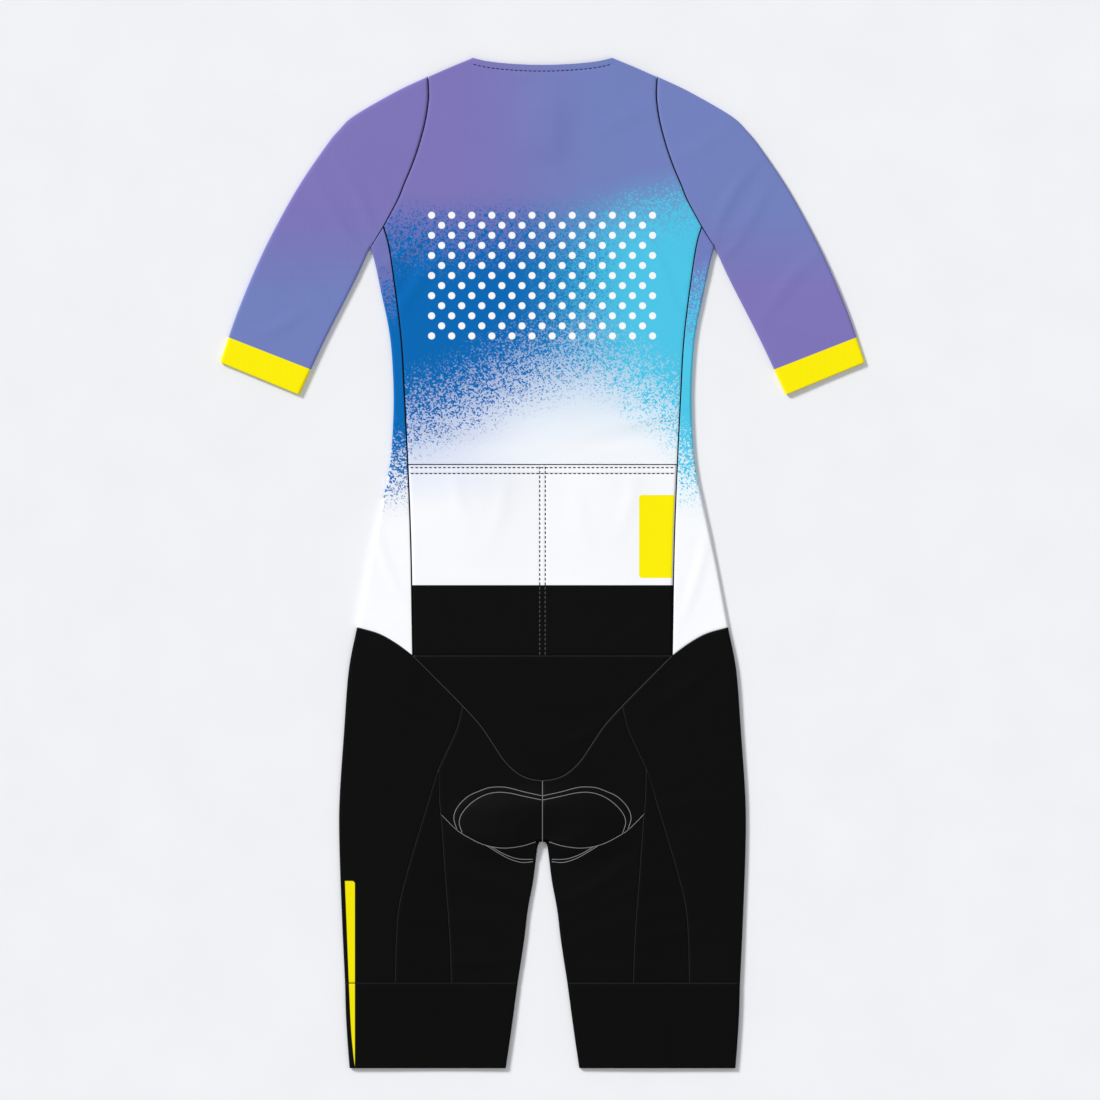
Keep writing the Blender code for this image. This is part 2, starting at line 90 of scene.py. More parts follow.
POCKET_TOP = 442.4
POCKET_HEM = 10.0
POCKET_SIDE_INSET = 1.5
POCKET_EASE = 1.6
POCKET_STITCHES = (446.2, 452.5)
POCKET_MIDDLE = 3.0  # the two lines that part the pockets are this far out
POCKET_DROPS = (0.0, 0.4, 1.0, 1.8, 2.6, 3.2, 3.8, 4.6, 6.0, 7.5, 8.6, 9.2, 9.5, 9.8, 10.4, 11.4)
POCKET_OUTS = [0.0, 1.2, 2.0, 2.5, 3.0, 3.5, 4.0, 5.0, 6.4]

PAD_CENTRE = 835.0
PAD_HALF_WIDTH = 96.0
PAD_HALF_LENGTH = 41.0
PAD_POWER = 2.6
PAD_RISE = 7.0
PAD_MARGIN = 7.0
PAD_SPAN = 0.94  # share of the outline that the foam fills
PAD_FOOT = 1.5

BLOCK_TOP = 574.0  # the jersey's back is black below here
FIRST_DOT = (171.5, -120.7)
DOT_PITCH = 21.86
DOT_ROW_STEP = 10.945
DOT_RADIUS = 3.8
DOTS_ACROSS = (-0.26, 11.26)
DOTS_ALONG = (-0.3, 6.3)
CUFF_POINT = (306.0, 337.5)
CUFF_NORMAL = (0.931, 0.364)
PATCH_MIDDLE = (521.1, 135.1)
PATCH_HALVES = (45.2, 30.0)
PATCH_CORNER = 3.4
STRIP_EDGE = -204.2
STRIP_TOP = 896.0
STRIP_CORNER = 3.2

FLOOR_HALF = 3000.0
FLOOR_TOP = -0.3
CAMERA_PLACE = (8.17, 14.2, 6000.0)
VIEW_WIDTH = 1198.0
SENSOR_WIDTH = 36.0

# Outlines and seams, each row (down, out).
NECK = [(0, 76), (2.1, 67.6), (4.1, 57), (6.2, 37), (7.4, 16), (7.7, 0)]
FRONT_NECK = [(FRONT_NECK_DROP, 0), (FRONT_NECK_DROP - 6, 24), (34, 52), (8, 71), (0, 76)]
SHOULDER = [(0, 76), (9, 98), ARMHOLE_TOP]
SLEEVE_OUTER = [
    ARMHOLE_TOP, (37, 160), (63, 205), (78, 221), (95, 235), (144, 268), (209, 303), (274, 331), (332, 351),
]
SLEEVE_INNER = [(206, 187), (242, 204), (307, 237), (367, 265)]
ARMHOLE_BACK = [
    ARMHOLE_TOP, (37, 123.4), (46, 123.6), (57, 124.9), (69, 127), (83, 130.4), (101, 135.7), (120, 142.6),
    (138, 150.3), (155, 157.2), (184, 173),
]
ARMHOLE_UNDER = [(184, 173), (206, 187)]
BODY_SIDE = [
    (206, 187), (225, 182), (258, 175), (291, 168), (323, 164), (372, 162), (421, 164), (454, 168),
    (487, 175), (552, 189), (620, 202),
]
SHORTS_OUTER = [(620, 202), (667, 211), (732, 216), (808, 221), (863, 221), (944, 218), (1007, 215)]
BAND_OUTER = [(1007, 215), (1042, 214), (1075, 212), (1100, 210)]
LEG_INNER = [(853, 0.4), (855, 4), (863, 6), (895, 10), (928, 16), (961, 20), (1007, 27)]
BAND_INNER = [(1007, 27), (1059, 34), (1100, 40)]
SIDE_SEAM = [(184, 173), (201, 168), (231, 163), (303, 154), (371, 150), (454, 146), (536, 143), (651, 141)]
JERSEY_HEM = [(651, 141), (638, 158.5), (627, 178), (620, 202)]
YOKE = [
    (651, 141), (676, 116), (705.5, 87), (726.5, 68), (747, 54), (766, 41), (779, 27), (785, 14), (787, 0),
]
SEAT_SIDE = [(705.5, 87), (730, 93), (757, 105), (774, 113)]
LEG_OUTER_SEAM = [(774, 113), (826, 129), (883, 146), (924, 156), (962, 159), (1007, 160)]
LEG_INNER_SEAM = [(774, 113), (808, 112), (829, 110), (887, 106), (954, 101), (1007, 99)]
CROTCH_SEAM = [(823, 111), (839, 95), (846, 85), (856, 65), (860, 44), (858, 23), (853, 0.4)]
FRONT_SIDE_SEAM = [(651, 141), (720, 146), (820, 152), (920, 158), (1007, 160)]
FRONT_INNER_SEAM = [(853, 4.5), (1007, 99)]

# The pad's stitched outlines, each row (down, out).
PAD_LINES = [
    [(840, 93), (827, 96.5), (815, 92), (804, 81), (798, 68), (794.5, 58), (793.7, 46), (794.7, 36.5),
     (799, 20), (803.3, 0)],
    [(844.5, 87), (832, 90.6), (821, 86.6), (810, 76), (802.7, 63.4), (799.6, 50.6), (800.2, 36.5),
     (803.7, 20), (807.8, 0)],
    [(856.9, 61.4), (863.9, 50.3), (868.7, 42.3), (872.6, 34.2), (875.2, 26.2), (876, 19.7), (875, 10.1)],
    [(858.7, 55.4), (865.3, 44.3), (869.7, 34.2), (872.3, 24.2), (872.5, 10.1)],
]

# The print's soft edges: where the spray begins and ends across the body, each row (x, down), and on the side
# panels the middle and half of the width of each edge, each row (left, right).
UPPER_FADE = [
    (-200, 197), (-115, 200), (-60, 199), (-10, 199), (25, 199), (60, 193), (95, 184), (122, 179), (200, 160),
]
LOWER_FADE = [
    (-200, 400), (-136, 381), (-90, 365), (-62, 351), (-35, 333), (-9, 320), (17, 312), (43, 307), (69, 313),
    (95, 335), (122, 354), (141, 372), (200, 396),
]
SIDE_FADES = [(259, 277), (55, 78), (445, 438), (70, 76)]
# The yellow strip's outer edge, each row (down, out).
STRIP_OUTER = [
    (880, 215.6), (950, 212.9), (1006, 210.7), (1034, 209.5), (1057, 208.3), (1080, 206.3), (1096, 204.4),
    (1100, 203.6),
]

# Soft creases of each layer: the middle's down and x, the heading in degrees from straight down towards +x,
# half of the length, half of the width, the height, and how far the line bows.
TOP_CREASES = [
    (212, -150, 128, 34, 5.5, 1.3, 4), (236, -128, 140, 46, 7.0, 1.0, -5), (250, -152, 152, 30, 5.0, -0.9, 3),
    (205, 146, 52, 36, 6.0, 1.2, -4), (232, 132, 38, 40, 6.5, 1.1, 6), (262, 150, 26, 28, 5.0, -0.8, 2),
    (70, -96, 60, 40, 9.0, 0.7, 5), (66, 88, 118, 44, 9.5, 0.6, -4), (100, 14, 8, 60, 13.0, 0.5, 7),
    (400, -128, 70, 34, 6.5, 0.9, -3), (418, -96, 82, 42, 8.0, -0.7, 4), (392, 120, 104, 38, 6.5, 0.9, 4),
    (414, 92, 96, 46, 8.0, -0.6, -3), (330, -20, 86, 70, 16.0, 0.5, 9), (352, 48, 96, 56, 13.0, -0.4, -6),
    (545, -172, 20, 46, 6.0, 0.8, 3), (560, 170, -16, 52, 6.0, 0.8, -3),
    (640, -186, 66, 26, 5.0, 0.6, 2), (668, -150, 52, 42, 9.0, 0.9, -4), (690, 150, 128, 44, 9.0, 0.9, 4),
    (700, 6, 88, 62, 12.0, 0.6, 5), (738, -34, 60, 34, 7.5, 0.7, -3), (742, 38, 118, 36, 7.5, 0.7, 4),
    (790, -160, 80, 40, 9.0, 0.8, 5), (812, 166, 96, 42, 9.0, 0.9, -4), (850, -182, 62, 36, 7.0, 0.7, 3),
    (896, -60, 62, 44, 8.0, 1.2, -5), (915, -84, 72, 52, 9.0, -0.9, 4), (902, 58, 120, 46, 8.0, 1.1, 6),
    (922, 92, 108, 54, 9.5, -0.8, -4), (938, -130, 84, 48, 9.0, 0.8, 3), (955, 140, 98, 44, 8.5, 0.8, -4),
    (985, -70, 92, 60, 7.5, 0.7, 4), (990, 96, 86, 62, 7.5, 0.7, -5), (1050, -120, 12, 34, 9.0, 0.5, 2),
    (1056, 132, -10, 36, 9.0, 0.5, -2),
    (150, -200, 28, 42, 7.0, 1.1, -5), (178, -222, 34, 52, 8.0, 0.9, 5), (196, -196, 48, 30, 5.5, -0.9, 3),
    (236, -262, 44, 44, 9.0, 0.8, -4), (292, -286, 118, 38, 8.0, 0.7, 4), (88, -178, 54, 44, 9.0, 0.7, 5),
    (152, 204, -30, 44, 7.0, 1.0, 5), (186, 218, -36, 50, 8.0, 1.0, -5), (204, 200, -50, 28, 5.5, -0.9, -3),
    (244, 268, -40, 46, 9.0, 0.8, 4), (298, 288, 64, 36, 8.0, 0.7, -4), (94, 176, -58, 42, 9.0, 0.7, -5),
]
LOW_CREASES = [
    (214, -140, 130, 40, 6.0, 0.9, 4), (246, -120, 142, 40, 6.5, 0.8, -4), (210, 144, 50, 38, 6.0, 0.9, -4),
    (240, 124, 40, 42, 6.5, 0.8, 5), (330, -70, 84, 56, 9.0, 0.7, 5), (350, 76, 98, 52, 9.0, 0.7, -5),
    (440, -96, 78, 44, 8.0, 0.8, -4), (452, 90, 100, 46, 8.0, 0.8, 4), (120, -70, 30, 46, 9.0, 0.6, 5),
    (128, 76, -34, 44, 9.0, 0.6, -5), (540, -110, 88, 42, 8.0, 0.6, 3), (556, 104, 92, 44, 8.0, 0.6, -3),
    (760, -70, 66, 48, 9.0, 0.8, -4), (770, 74, 112, 46, 9.0, 0.8, 4), (820, -96, 58, 44, 8.0, 0.9, 4),
    (826, 92, 124, 46, 8.0, 0.9, -4), (900, -110, 76, 52, 9.0, 0.8, 4), (910, 116, 104, 50, 9.0, 0.8, -4),
    (965, -120, 92, 52, 8.0, 0.7, 4), (972, 118, 86, 50, 8.0, 0.7, -4), (160, -204, 30, 44, 7.0, 0.8, -5),
    (198, -214, 40, 40, 7.0, 0.7, 4), (164, 208, -32, 42, 7.0, 0.8, 5), (206, 216, -42, 40, 7.0, 0.7, -4),
    (268, -268, 110, 34, 8.0, 0.6, 3), (272, 270, 70, 36, 8.0, 0.6, -3), (1052, -120, 80, 50, 9.0, 0.5, 3),
    (1050, 118, 98, 48, 9.0, 0.5, -3),
]
POCKET_CREASES = [
    (478, -92, 14, 30, 8.0, 0.7, 3), (486, -44, -10, 34, 9.0, 0.6, -3), (500, 40, 8, 32, 9.0, 0.6, 3),
    (482, 96, -12, 30, 8.0, 0.7, -3), (570, -70, 84, 46, 10.0, 0.5, 4), (585, 66, 98, 44, 10.0, 0.5, -4),
    (624, -100, 60, 30, 8.0, 0.5, 3), (628, 98, 120, 30, 8.0, 0.5, -3),
]

# How a cloth's edge sinks, each row (distance from the edge, dip).
SEAM = ((0.0, 0.5), (0.5, 0.4), (1.1, 0.22), (1.9, 0.06), (3.0, 0.0))
HEM = ((0.0, 0.3), (0.35, 0.08), (0.9, 0.0))
PLAIN = ((0.0, 0.0),)
HUNG_DROPS = (0.2, 0.55, 1.0, 1.6, 2.3, 3.4, 4.8, 5.8, 6.5, 7.0, 7.5, 8.2, 9.6)

FOLD_ANGLES = [math.radians(angle) for angle in (90, 72, 54, 36, 18, 0)]
FOLD_SEARCH = 30.0  # places nearer than this to a fold are measured from it


def smoothstep(low, high, value):
    """0 at low, 1 at high, and smooth between them. Low may be the greater of the two."""
    share = min(max((value - low) / (high - low), 0.0), 1.0)
    return share * share * (3.0 - 2.0 * share)


def bell(distance, half_width):
    """1 at 0, falling away to nothing on both sides."""
    return math.exp(-((distance / half_width) ** 2))


def mix(a, b, share):
    """The value or place that lies at share between a and b."""
    if isinstance(a, tuple):
        return tuple(p + (q - p) * share for p, q in zip(a, b))
    return a + (b - a) * share


def spread(count, start=0.0, end=1.0):
    """Count + 1 even stations from start to end."""
    return [mix(start, end, index / count) for index in range(count + 1)]


class Path:
    """A line through one or more tables, smooth within each and with a corner where one meets the next."""

    STEPS = 8

    def __init__(self, *tables):
        self.points = [tuple(map(float, tables[0][0]))]
        corners = [0]
        for rows in tables:
            self.add_smooth(rows)
            corners.append(len(self.points) - 1)
        self.reach = [0.0]
        for start, end in zip(self.points, self.points[1:]):
            self.reach.append(self.reach[-1] + math.dist(start, end))
        self.length = self.reach[-1]
        self.corners = [self.reach[index] / self.length for index in corners]
        self.downs = [point[0] for point in self.points]

    def add_smooth(self, rows):
        """Catmull-Rom points after the first row."""
        ends = [mix(rows[1], rows[0], 2.0)] + list(rows) + [mix(rows[-2], rows[-1], 2.0)]
        for before, start, end, after in zip(ends, ends[1:], ends[2:], ends[3:]):
            for step in range(1, self.STEPS + 1):
                share = step / self.STEPS
                self.points.append(tuple(
                    0.5 * (2 * s + (e - b) * share + (2 * b - 5 * s + 4 * e - a) * share**2
                           + (3 * s - b - 3 * e + a) * share**3)
                    for b, s, e, a in zip(before, start, end, after)
                ))

    def between(self, stations, wanted):
        """The place at a wanted station, where the points have stations that grow."""
        index = min(max(bisect.bisect_left(stations, wanted), 1), len(stations) - 1)
        low, high = stations[index - 1], stations[index]
        return mix(self.points[index - 1], self.points[index], (wanted - low) / (high - low))

    def at(self, share):
        return self.between(self.reach, min(max(share, 0.0), 1.0) * self.length)

    def out_at(self, down):
        """How far out the line is at a distance down, for lines that only go down."""
        return self.between(self.downs, down)[1]

    def distance(self, place):
        """How far a place is from the line."""
        nearest = math.inf
        for (down, out), (next_down, next_out) in zip(self.points, self.points[1:]):
            run_down, run_out = next_down - down, next_out - out
            share = ((place[0] - down) * run_down + (place[1] - out) * run_out) / (run_down**2 + run_out**2)
            share = min(max(share, 0.0), 1.0)
            nearest = min(nearest, math.dist(place, (down + run_down * share, out + run_out * share)))
        return nearest

    def stations(self, step, head=SEAM, tail=SEAM):
        """Shares down the line and the dip at each: even steps that keep its corners, closer at its ends."""
        first = [((SEAM_GAP + distance) / self.length, dip) for distance, dip in head]
        last = [(1.0 - (SEAM_GAP + distance) / self.length, dip) for distance, dip in reversed(tail)]
        margin = 0.3 * step / self.length
        shares = []
        for low, high in zip(self.corners, self.corners[1:]):
            count = max(1, round((high - low) * self.length / step))
            shares += spread(count, low, high)[:-1]
        middle = [(share, 0.0) for share in shares if first[-1][0] + margin < share < last[0][0] - margin]
        return first + middle + last


def line(start, end):
    return Path([start, end])


def patch(inner, outer, top=None, bottom=None, haste=1):
    """A Coons patch: inner and outer run down its sides, top and bottom run outwards across its ends.

    An end that isn't given is straight. A haste over 1 gives the sections the bottom's form sooner.
    """
    top = top or line(inner.at(0), outer.at(0))
    bottom = bottom or line(inner.at(1), outer.at(1))
    corners = top.at(0), top.at(1), bottom.at(0), bottom.at(1)

    def place(across, along):
        form = 1.0 - (1.0 - along) ** haste
        ends = mix(top.at(across), bottom.at(across), form)
        sides = mix(inner.at(along), outer.at(along), across)
        flat = mix(mix(corners[0], corners[1], across), mix(corners[2], corners[3], across), form)
        return tuple(e + s - f for e, s, f in zip(ends, sides, flat))

    return place


def edge_function(*tables):
    """How far down the top edge is at a distance out."""
    path = Path(*[sorted((out, down) for down, out in table) for table in tables])
    return lambda out: path.out_at(min(max(out, path.points[0][0]), path.points[-1][0]))


INSEAM = Path(LEG_INNER, BAND_INNER)
ARMHOLE_LINE = Path(ARMHOLE_BACK, ARMHOLE_UNDER)
SIDE_SEAM_LINE = Path(SIDE_SEAM)
BACK_EDGE = edge_function(NECK, SHOULDER)
PAD_PATHS = [Path(rows) for rows in PAD_LINES]


# Heights of the layers.


def pad_distance(down, out):
    """0 at the pad's centre and 1 on its outline."""
    across = out / PAD_HALF_WIDTH
    along = abs(down - PAD_CENTRE) / PAD_HALF_LENGTH
    return (across**PAD_POWER + along**PAD_POWER) ** (1.0 / PAD_POWER)


def inseam_distance(down, out):
    """How far a place is from the legs' inner folds, or from the crotch above them."""
    if down < CROTCH:
        return math.hypot(CROTCH - down, out)
    return out - INSEAM.out_at(down)


def pad_bulge(down, out):
    """How far the pad lifts the upper layer."""
    near_fold = 0.3 + 0.7 * smoothstep(0.0, 34.0, inseam_distance(down, out))
    return PAD_RISE * smoothstep(1.15, 0.45, pad_distance(down, out)) * near_fold


def zip_lift(down, out):
    """How far the slider, below it, lifts the cloth."""
    away = math.hypot(max(abs(down - SLIDER_DOWN) - 10.0, 0.0), out)
    return ZIP_LIFT * smoothstep(ZIP_LIFT_REACH, 6.0, away)


def prepared(creases):
    """Creases with the cosine and the sine of each one's heading in its place."""
    return [
        (down, x, math.cos(math.radians(heading)), math.sin(math.radians(heading)), *sizes)
        for down, x, heading, *sizes in creases
    ]


TOP_ROWS, LOW_ROWS, POCKET_ROWS = map(prepared, (TOP_CREASES, LOW_CREASES, POCKET_CREASES))


def relief(rows, x, down):
    """Height that the creases of a layer add: each is a soft ridge with a shallow hollow on both sides."""
    total = 0.0
    for middle_down, middle_x, cosine, sine, half_length, half_width, height, bow in rows:
        step_down, step_x = down - middle_down, x - middle_x
        along = (step_down * cosine + step_x * sine) / half_length
        across = step_x * cosine - step_down * sine - bow * along * along
        if abs(along) > 2.2 or abs(across) > 5.0 * half_width:
            continue
        form = bell(across, half_width) - 0.4 * bell(across, 2.2 * half_width)
        total += height * form * bell(along, 1.0)
    return total


def drift(x, down):
    """The slow, uneven rise and fall of cloth that lies by itself."""
    return (
        0.22 * math.sin(x / 33.0 + down / 51.0) + 0.18 * math.sin(x / 21.0 - down / 64.0 + 1.3)
        + 0.15 * math.sin(x / 58.0 + 0.6 * math.sin(down / 37.0) + down / 29.0)
    )


def pad_channel(down, out):
    """Depth of the channels that the pad's stitch lines pull into the cloth."""
    if not (785.0 < down < 885.0 and out < 102.0):
        return 0.0
    nearest = min(math.dist((down, out), point) for path in PAD_PATHS for point in path.points)
    return 0.5 * bell(nearest, 2.3)


def top_height(x, down):
    """The upper layer's outer face."""
    out = abs(x)
    bare = STACK + pad_bulge(down, out) + UPPER_LIFT_SHARE * zip_lift(down, out)
    return bare + relief(TOP_ROWS, x, down) + drift(x, down) - pad_channel(down, out)


def seam_height(x, down):
    """The bottom of the dip between two panels on the upper layer."""
    return top_height(x, down) - 0.45


def low_height(x, down):
    """The lower layer's outer face, which faces the surface: its creases only lift it."""
    lift = max(relief(LOW_ROWS, x, down), 0.0) * smoothstep(6.0, 26.0, abs(x))
    return zip_lift(down, abs(x)) + lift


def back_height(x, down):
    """The back's outer face, with the turned hem at the neck pulled in along its stitches."""
    inside = smoothstep(NECK_HALF + 2.0, NECK_HALF - 3.0, abs(x))
    distance = down - BACK_EDGE(abs(x))
    hem = smoothstep(7.8, 6.6, distance) - bell(distance - NECK_STITCHES, 0.9)
    return top_height(x, down) + inside * 0.3 * hem


def pocket_half(down):
    return SIDE_SEAM_LINE.out_at(down) - POCKET_SIDE_INSET


def pocket_height(x, down):
    """Outer face of the pockets' cloth: a thicker turned hem, easy mouths and stitched lines."""
    share = min(abs(x) / pocket_half(down), 1.0)
    arch = math.sin(math.pi * share)
    ease = POCKET_EASE * smoothstep(POCKET_TOP + 120.0, POCKET_TOP, down) * arch**2
    hem_end = POCKET_TOP + POCKET_HEM
    hem = 0.6 * smoothstep(hem_end + 0.6, hem_end - 0.6, down)
    stitched = 0.35 * bell(abs(x) - POCKET_MIDDLE, 1.1)
    stitched += 0.25 * bell(down - POCKET_STITCHES[0], 0.9) + 0.3 * bell(down - POCKET_STITCHES[1], 0.9)
    creases = max(relief(POCKET_ROWS, x, down), -0.2) * arch**0.5 if 0.0 < share < 1.0 else 0.0
    return top_height(x, down) + LIE_GAP + KNIT + ease + hem - stitched * 0.8 + creases


# Rows of points.


def point(place, z, side):
    down, out = place
    return (side * out, LENGTH / 2.0 - down, z)


def on_face(height, place, side, lift):
    """A point that is lifted off a layer's face."""
    down, out = place
    return point(place, height(side * out, down) + lift, side)


def graded(start, end, count, head=SEAM, tail=SEAM):
    """Distances from start to end and the dip at each: count even steps, and closer ones beside a seam."""
    reach = min(1.0, (end - start) / 12.0)
    first = [(start + distance * reach, dip * reach) for distance, dip in head]
    last = [(end - distance * reach, dip * reach) for distance, dip in reversed(tail)]
    middle = [(mix(first[-1][0], last[0][0], index / count), 0.0) for index in range(1, count)]
    return first + middle + last


def flat_row(patch_place, count, along, dip, side):
    """A section across a panel on the upper layer, from seam to seam."""
    place = partial(patch_place, along=along)
    width = math.dist(place(0.0), place(1.0))
    return [
        on_face(top_height, place(distance / width), side, -max(sunk, dip))
        for distance, sunk in graded(SEAM_GAP, width - SEAM_GAP, count)
    ]


def bend(place, height, side, dip, direction):
    """A quarter of a rounded fold, from the flat cloth to its edge. Direction is -1 on the lower layer."""
    radius = height / 2.0
    length = math.dist(place(0.0), place(1.0))
    bends = []
    for angle in FOLD_ANGLES:
        share = radius * (1.0 - math.cos(angle)) / length
        rise = (radius - dip) * math.sin(angle)
        bends.append(point(place(1.0 - share), radius + direction * rise, side))
    return bends


def wrap_row(top_place, under_place, counts, along, dip, side):
    """A section from a seam on the upper layer, round the outer fold, to a seam on the lower one."""
    top, under = partial(top_place, along=along), partial(under_place, along=along)
    top_length = math.dist(top(0.0), top(1.0))
    under_length = math.dist(under(0.0), under(1.0))
    down, out = top(1.0 - STACK / 2.0 / top_length)
    height = top_height(side * out, down)
    radius = height / 2.0
    row = []
    for distance, sunk in graded(SEAM_GAP, top_length - radius, counts[0], SEAM, PLAIN)[:-1]:
        row.append(on_face(top_height, top(distance / top_length), side, -max(sunk, dip)))
    row += bend(top, height, side, dip, 1)
    row += bend(under, height, side, dip, -1)[-2::-1]
    for distance, sunk in reversed(graded(SEAM_GAP, under_length - radius, counts[1], SEAM, PLAIN)[:-1]):
        down, out = under(distance / under_length)
        near = smoothstep(0.0, 14.0, under_length - radius - distance)
        row.append(point((down, out), low_height(side * out, down) * near + max(sunk, dip), side))
    return row


def tube_row(patch_place, near_fold, far_fold, count, along, dip, side):
    """A closed flattened ring: across the upper layer from one fold to the other, and back below."""
    place = partial(patch_place, along=along)
    length = math.dist(place(0.0), place(1.0))
    radius = STACK / 2.0
    bends = [radius * (1.0 - math.cos(angle)) for angle in reversed(FOLD_ANGLES)][:-1]
    stations = bends + spread(count, radius, length - radius) + [length - reach for reach in reversed(bends)]
    above, below = [], []
    for distance in stations:
        down, out = place(distance / length)
        radius = top_height(side * out, down) / 2.0
        edge = math.inf
        if distance < FOLD_SEARCH:
            edge = near_fold.distance((down, out))
        if length - distance < FOLD_SEARCH:
            edge = min(edge, far_fold.distance((down, out)))
        round_off = math.sqrt(max(radius**2 - max(radius - edge, 0.0) ** 2, 0.0))
        rise = (radius - dip) * round_off / radius
        lift = low_height(side * out, down) * smoothstep(radius, radius + 14.0, edge)
        above.append(point((down, out), radius + rise, side))
        below.append(point((down, out), radius - rise + lift, side))
    return above + below[-2:0:-1]


def shoulder_sink(distance, out):
    """How far a layer bends towards the other one near the shoulder's edge: none at the open neck."""
    radius = STACK / 2.0
    if distance >= radius:
        return 0.0
    rounded = math.sqrt(radius**2 - (radius - distance) ** 2)
    return min(rounded - radius + 0.15, 0.0) * smoothstep(NECK_HALF - 1.0, NECK_HALF + 4.0, out)


def hung_rows(top_edge, inner_out, side, count, height, inward, inner_form):
    """A body panel hung from the neck and shoulders, whose columns run from its inner edge to its side.

    Inward is -1 where the other layer is below and 1 where it is above.
    """
    corner = (NECK_HALF - inner_out) / (ARMHOLE_TOP[1] - inner_out)

    def columns(side_out):
        """Shares of the width and the dip at each, with one on the neck's corner."""
        width = side_out - inner_out
        pairs = graded(SEAM_GAP if inner_form is SEAM else 0.0, width - SEAM_GAP, count, inner_form, SEAM)
        shares = [distance / width for distance, _ in pairs]
        shares[min(range(len(shares)), key=lambda index: abs(shares[index] - corner))] = corner
        return [(share, dip) for share, (_, dip) in zip(shares, pairs)]

    rows = []
    for drop in HUNG_DROPS:
        side_out = ARMHOLE_LINE.out_at(ARMHOLE_TOP[0] + drop)
        row = []
        for share, sunk in columns(side_out):
            out = mix(inner_out, side_out, share)
            lift = inward * (sunk - shoulder_sink(drop, out))
            row.append(on_face(height, (top_edge(out) + drop, out), side, lift))
        rows.append(row)

    ends = [(ARMHOLE_LINE.at(share), 0.0) for share in spread(46, 0.075, ARMHOLE_LINE.corners[1])]
    ends += [(SIDE_SEAM_LINE.at(share), dip) for share, dip in SIDE_SEAM_LINE.stations(3.6, PLAIN, SEAM)[1:]]
    bottom = ends[-1][0][0]
    for (side_down, side_out), dip in ends:
        fade = (side_down - ARMHOLE_TOP[0]) / (bottom - ARMHOLE_TOP[0])
        row = []
        for share, sunk in columns(side_out):
            edge_down = top_edge(mix(inner_out, ARMHOLE_TOP[1], share))
            place = (mix(edge_down, bottom, fade), mix(inner_out, side_out, share))
            row.append(on_face(height, place, side, inward * max(dip, sunk)))
        rows.append(row)
    return rows


# Meshes.

Shell = namedtuple("Shell", "rows normals closed")


def metres(place):
    return tuple(value * MM for value in place)


def vertices(bm, rows):
    return [[bm.verts.new(metres(place)) for place in row] for row in rows]


def bridge(bm, rings, closed=True):
    """Faces between rows of vertices, which are closed rings or open rows."""
    faces = []
    for first, second in zip(rings, rings[1:]):
        for index in range(len(first) if closed else len(first) - 1):
            following = (index + 1) % len(first)
            faces.append(bm.faces.new((first[index], second[index], second[following], first[following])))
    return faces


def link(name, data):
    """A new object in the scene."""
    item = bpy.data.objects.new(name, data)
    bpy.context.scene.collection.objects.link(item)
    return item


def mesh_object(name, bm, material):
    """Turns a bmesh into an object, and frees it."""
    mesh = bpy.data.meshes.new(name)
    bm.to_mesh(mesh)
    bm.free()
    mesh.materials.append(material)
    mesh.shade_smooth()
    return link(name, mesh)


def new_item(name, bm, material):
    """An object that rides on the garment."""
    item = mesh_object(name, bm, material)
    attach(item, "root")
    return item


def track_length(points):
    return sum(math.dist(start, end) for start, end in zip(points, points[1:]))


def shell(node, rows, material, *rests_on, closed=False, faces_up=True, wall=KNIT):
    """A thin cloth through rows of points, in the place of a CAD node, with its material.

    The pieces below it, rests_on, are not used.
    """
    bm = bmesh.new()
    verts = vertices(bm, rows)
    faces = bridge(bm, verts, closed)
    bm.normal_update()
    per_row = len(rows[0]) if closed else len(rows[0]) - 1
    probe = faces[len(rows) // 2 * per_row + (per_row // 4 if closed else 0)]
    flip = 1.0 if (probe.normal.z > 0.0) == faces_up else -1.0
    if flip < 0.0:
        bmesh.ops.reverse_faces(bm, faces=bm.faces)
    normals = [[flip * vert.normal for vert in row] for row in verts]
    area = sum(face.calc_area() for face in bm.faces)
    item = new_item(node + "_cloth", bm, material)
    thicken = item.modifiers.new("cloth", "SOLIDIFY")
    thicken.thickness = wall * MM
    thicken.offset = -1.0

    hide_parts(node)
    width = max(track_length(row + row[:1] if closed else row) for row in rows) * MM
    length = max(track_length(column) for column in zip(*rows)) * MM
    if width > NARROWEST_SHEET:
        length = min(length, area / width / 0.31)
        width = max(width, area / length)
    return Shell(rows, normals, closed)


def both(name, material, stations, row_of, *rests_on, **options):
    """A left and a right cloth with a row at each station, which is a place along it and the dip there."""
    made = {}
    for label, side in SIDES:
        rows = [row_of(along, dip, side) for along, dip in stations]
        below = [item.format(label) for item in rests_on]
        made[label] = shell(f"{name}_{label}", rows, material, *below, **options)
    return made


def shell_row(cloth, index):
    """One row of a cloth as (point, normal) pairs, all the way round a tube."""
    pairs = [(Vector(place), normal) for place, normal in zip(cloth.rows[index], cloth.normals[index])]
    return pairs + pairs[:1] if cloth.closed else pairs


def shell_column(cloth, index):
    return [(Vector(row[index]), normals[index]) for row, normals in zip(cloth.rows, cloth.normals)]


def surface_line(places, height, side=1):
    """A line drawn on a face that looks up, as (point, normal) pairs."""
    pairs = []
    for down, out in places:
        x = side * out
        slope_x = (height(x + 0.6, down) - height(x - 0.6, down)) / 1.2
        slope_y = (height(x, down - 0.6) - height(x, down + 0.6)) / 1.2
        normal = Vector((-slope_x, -slope_y, 1.0)).normalized()
        pairs.append((Vector(on_face(height, (down, out), side, 0.0)), normal))
    return pairs


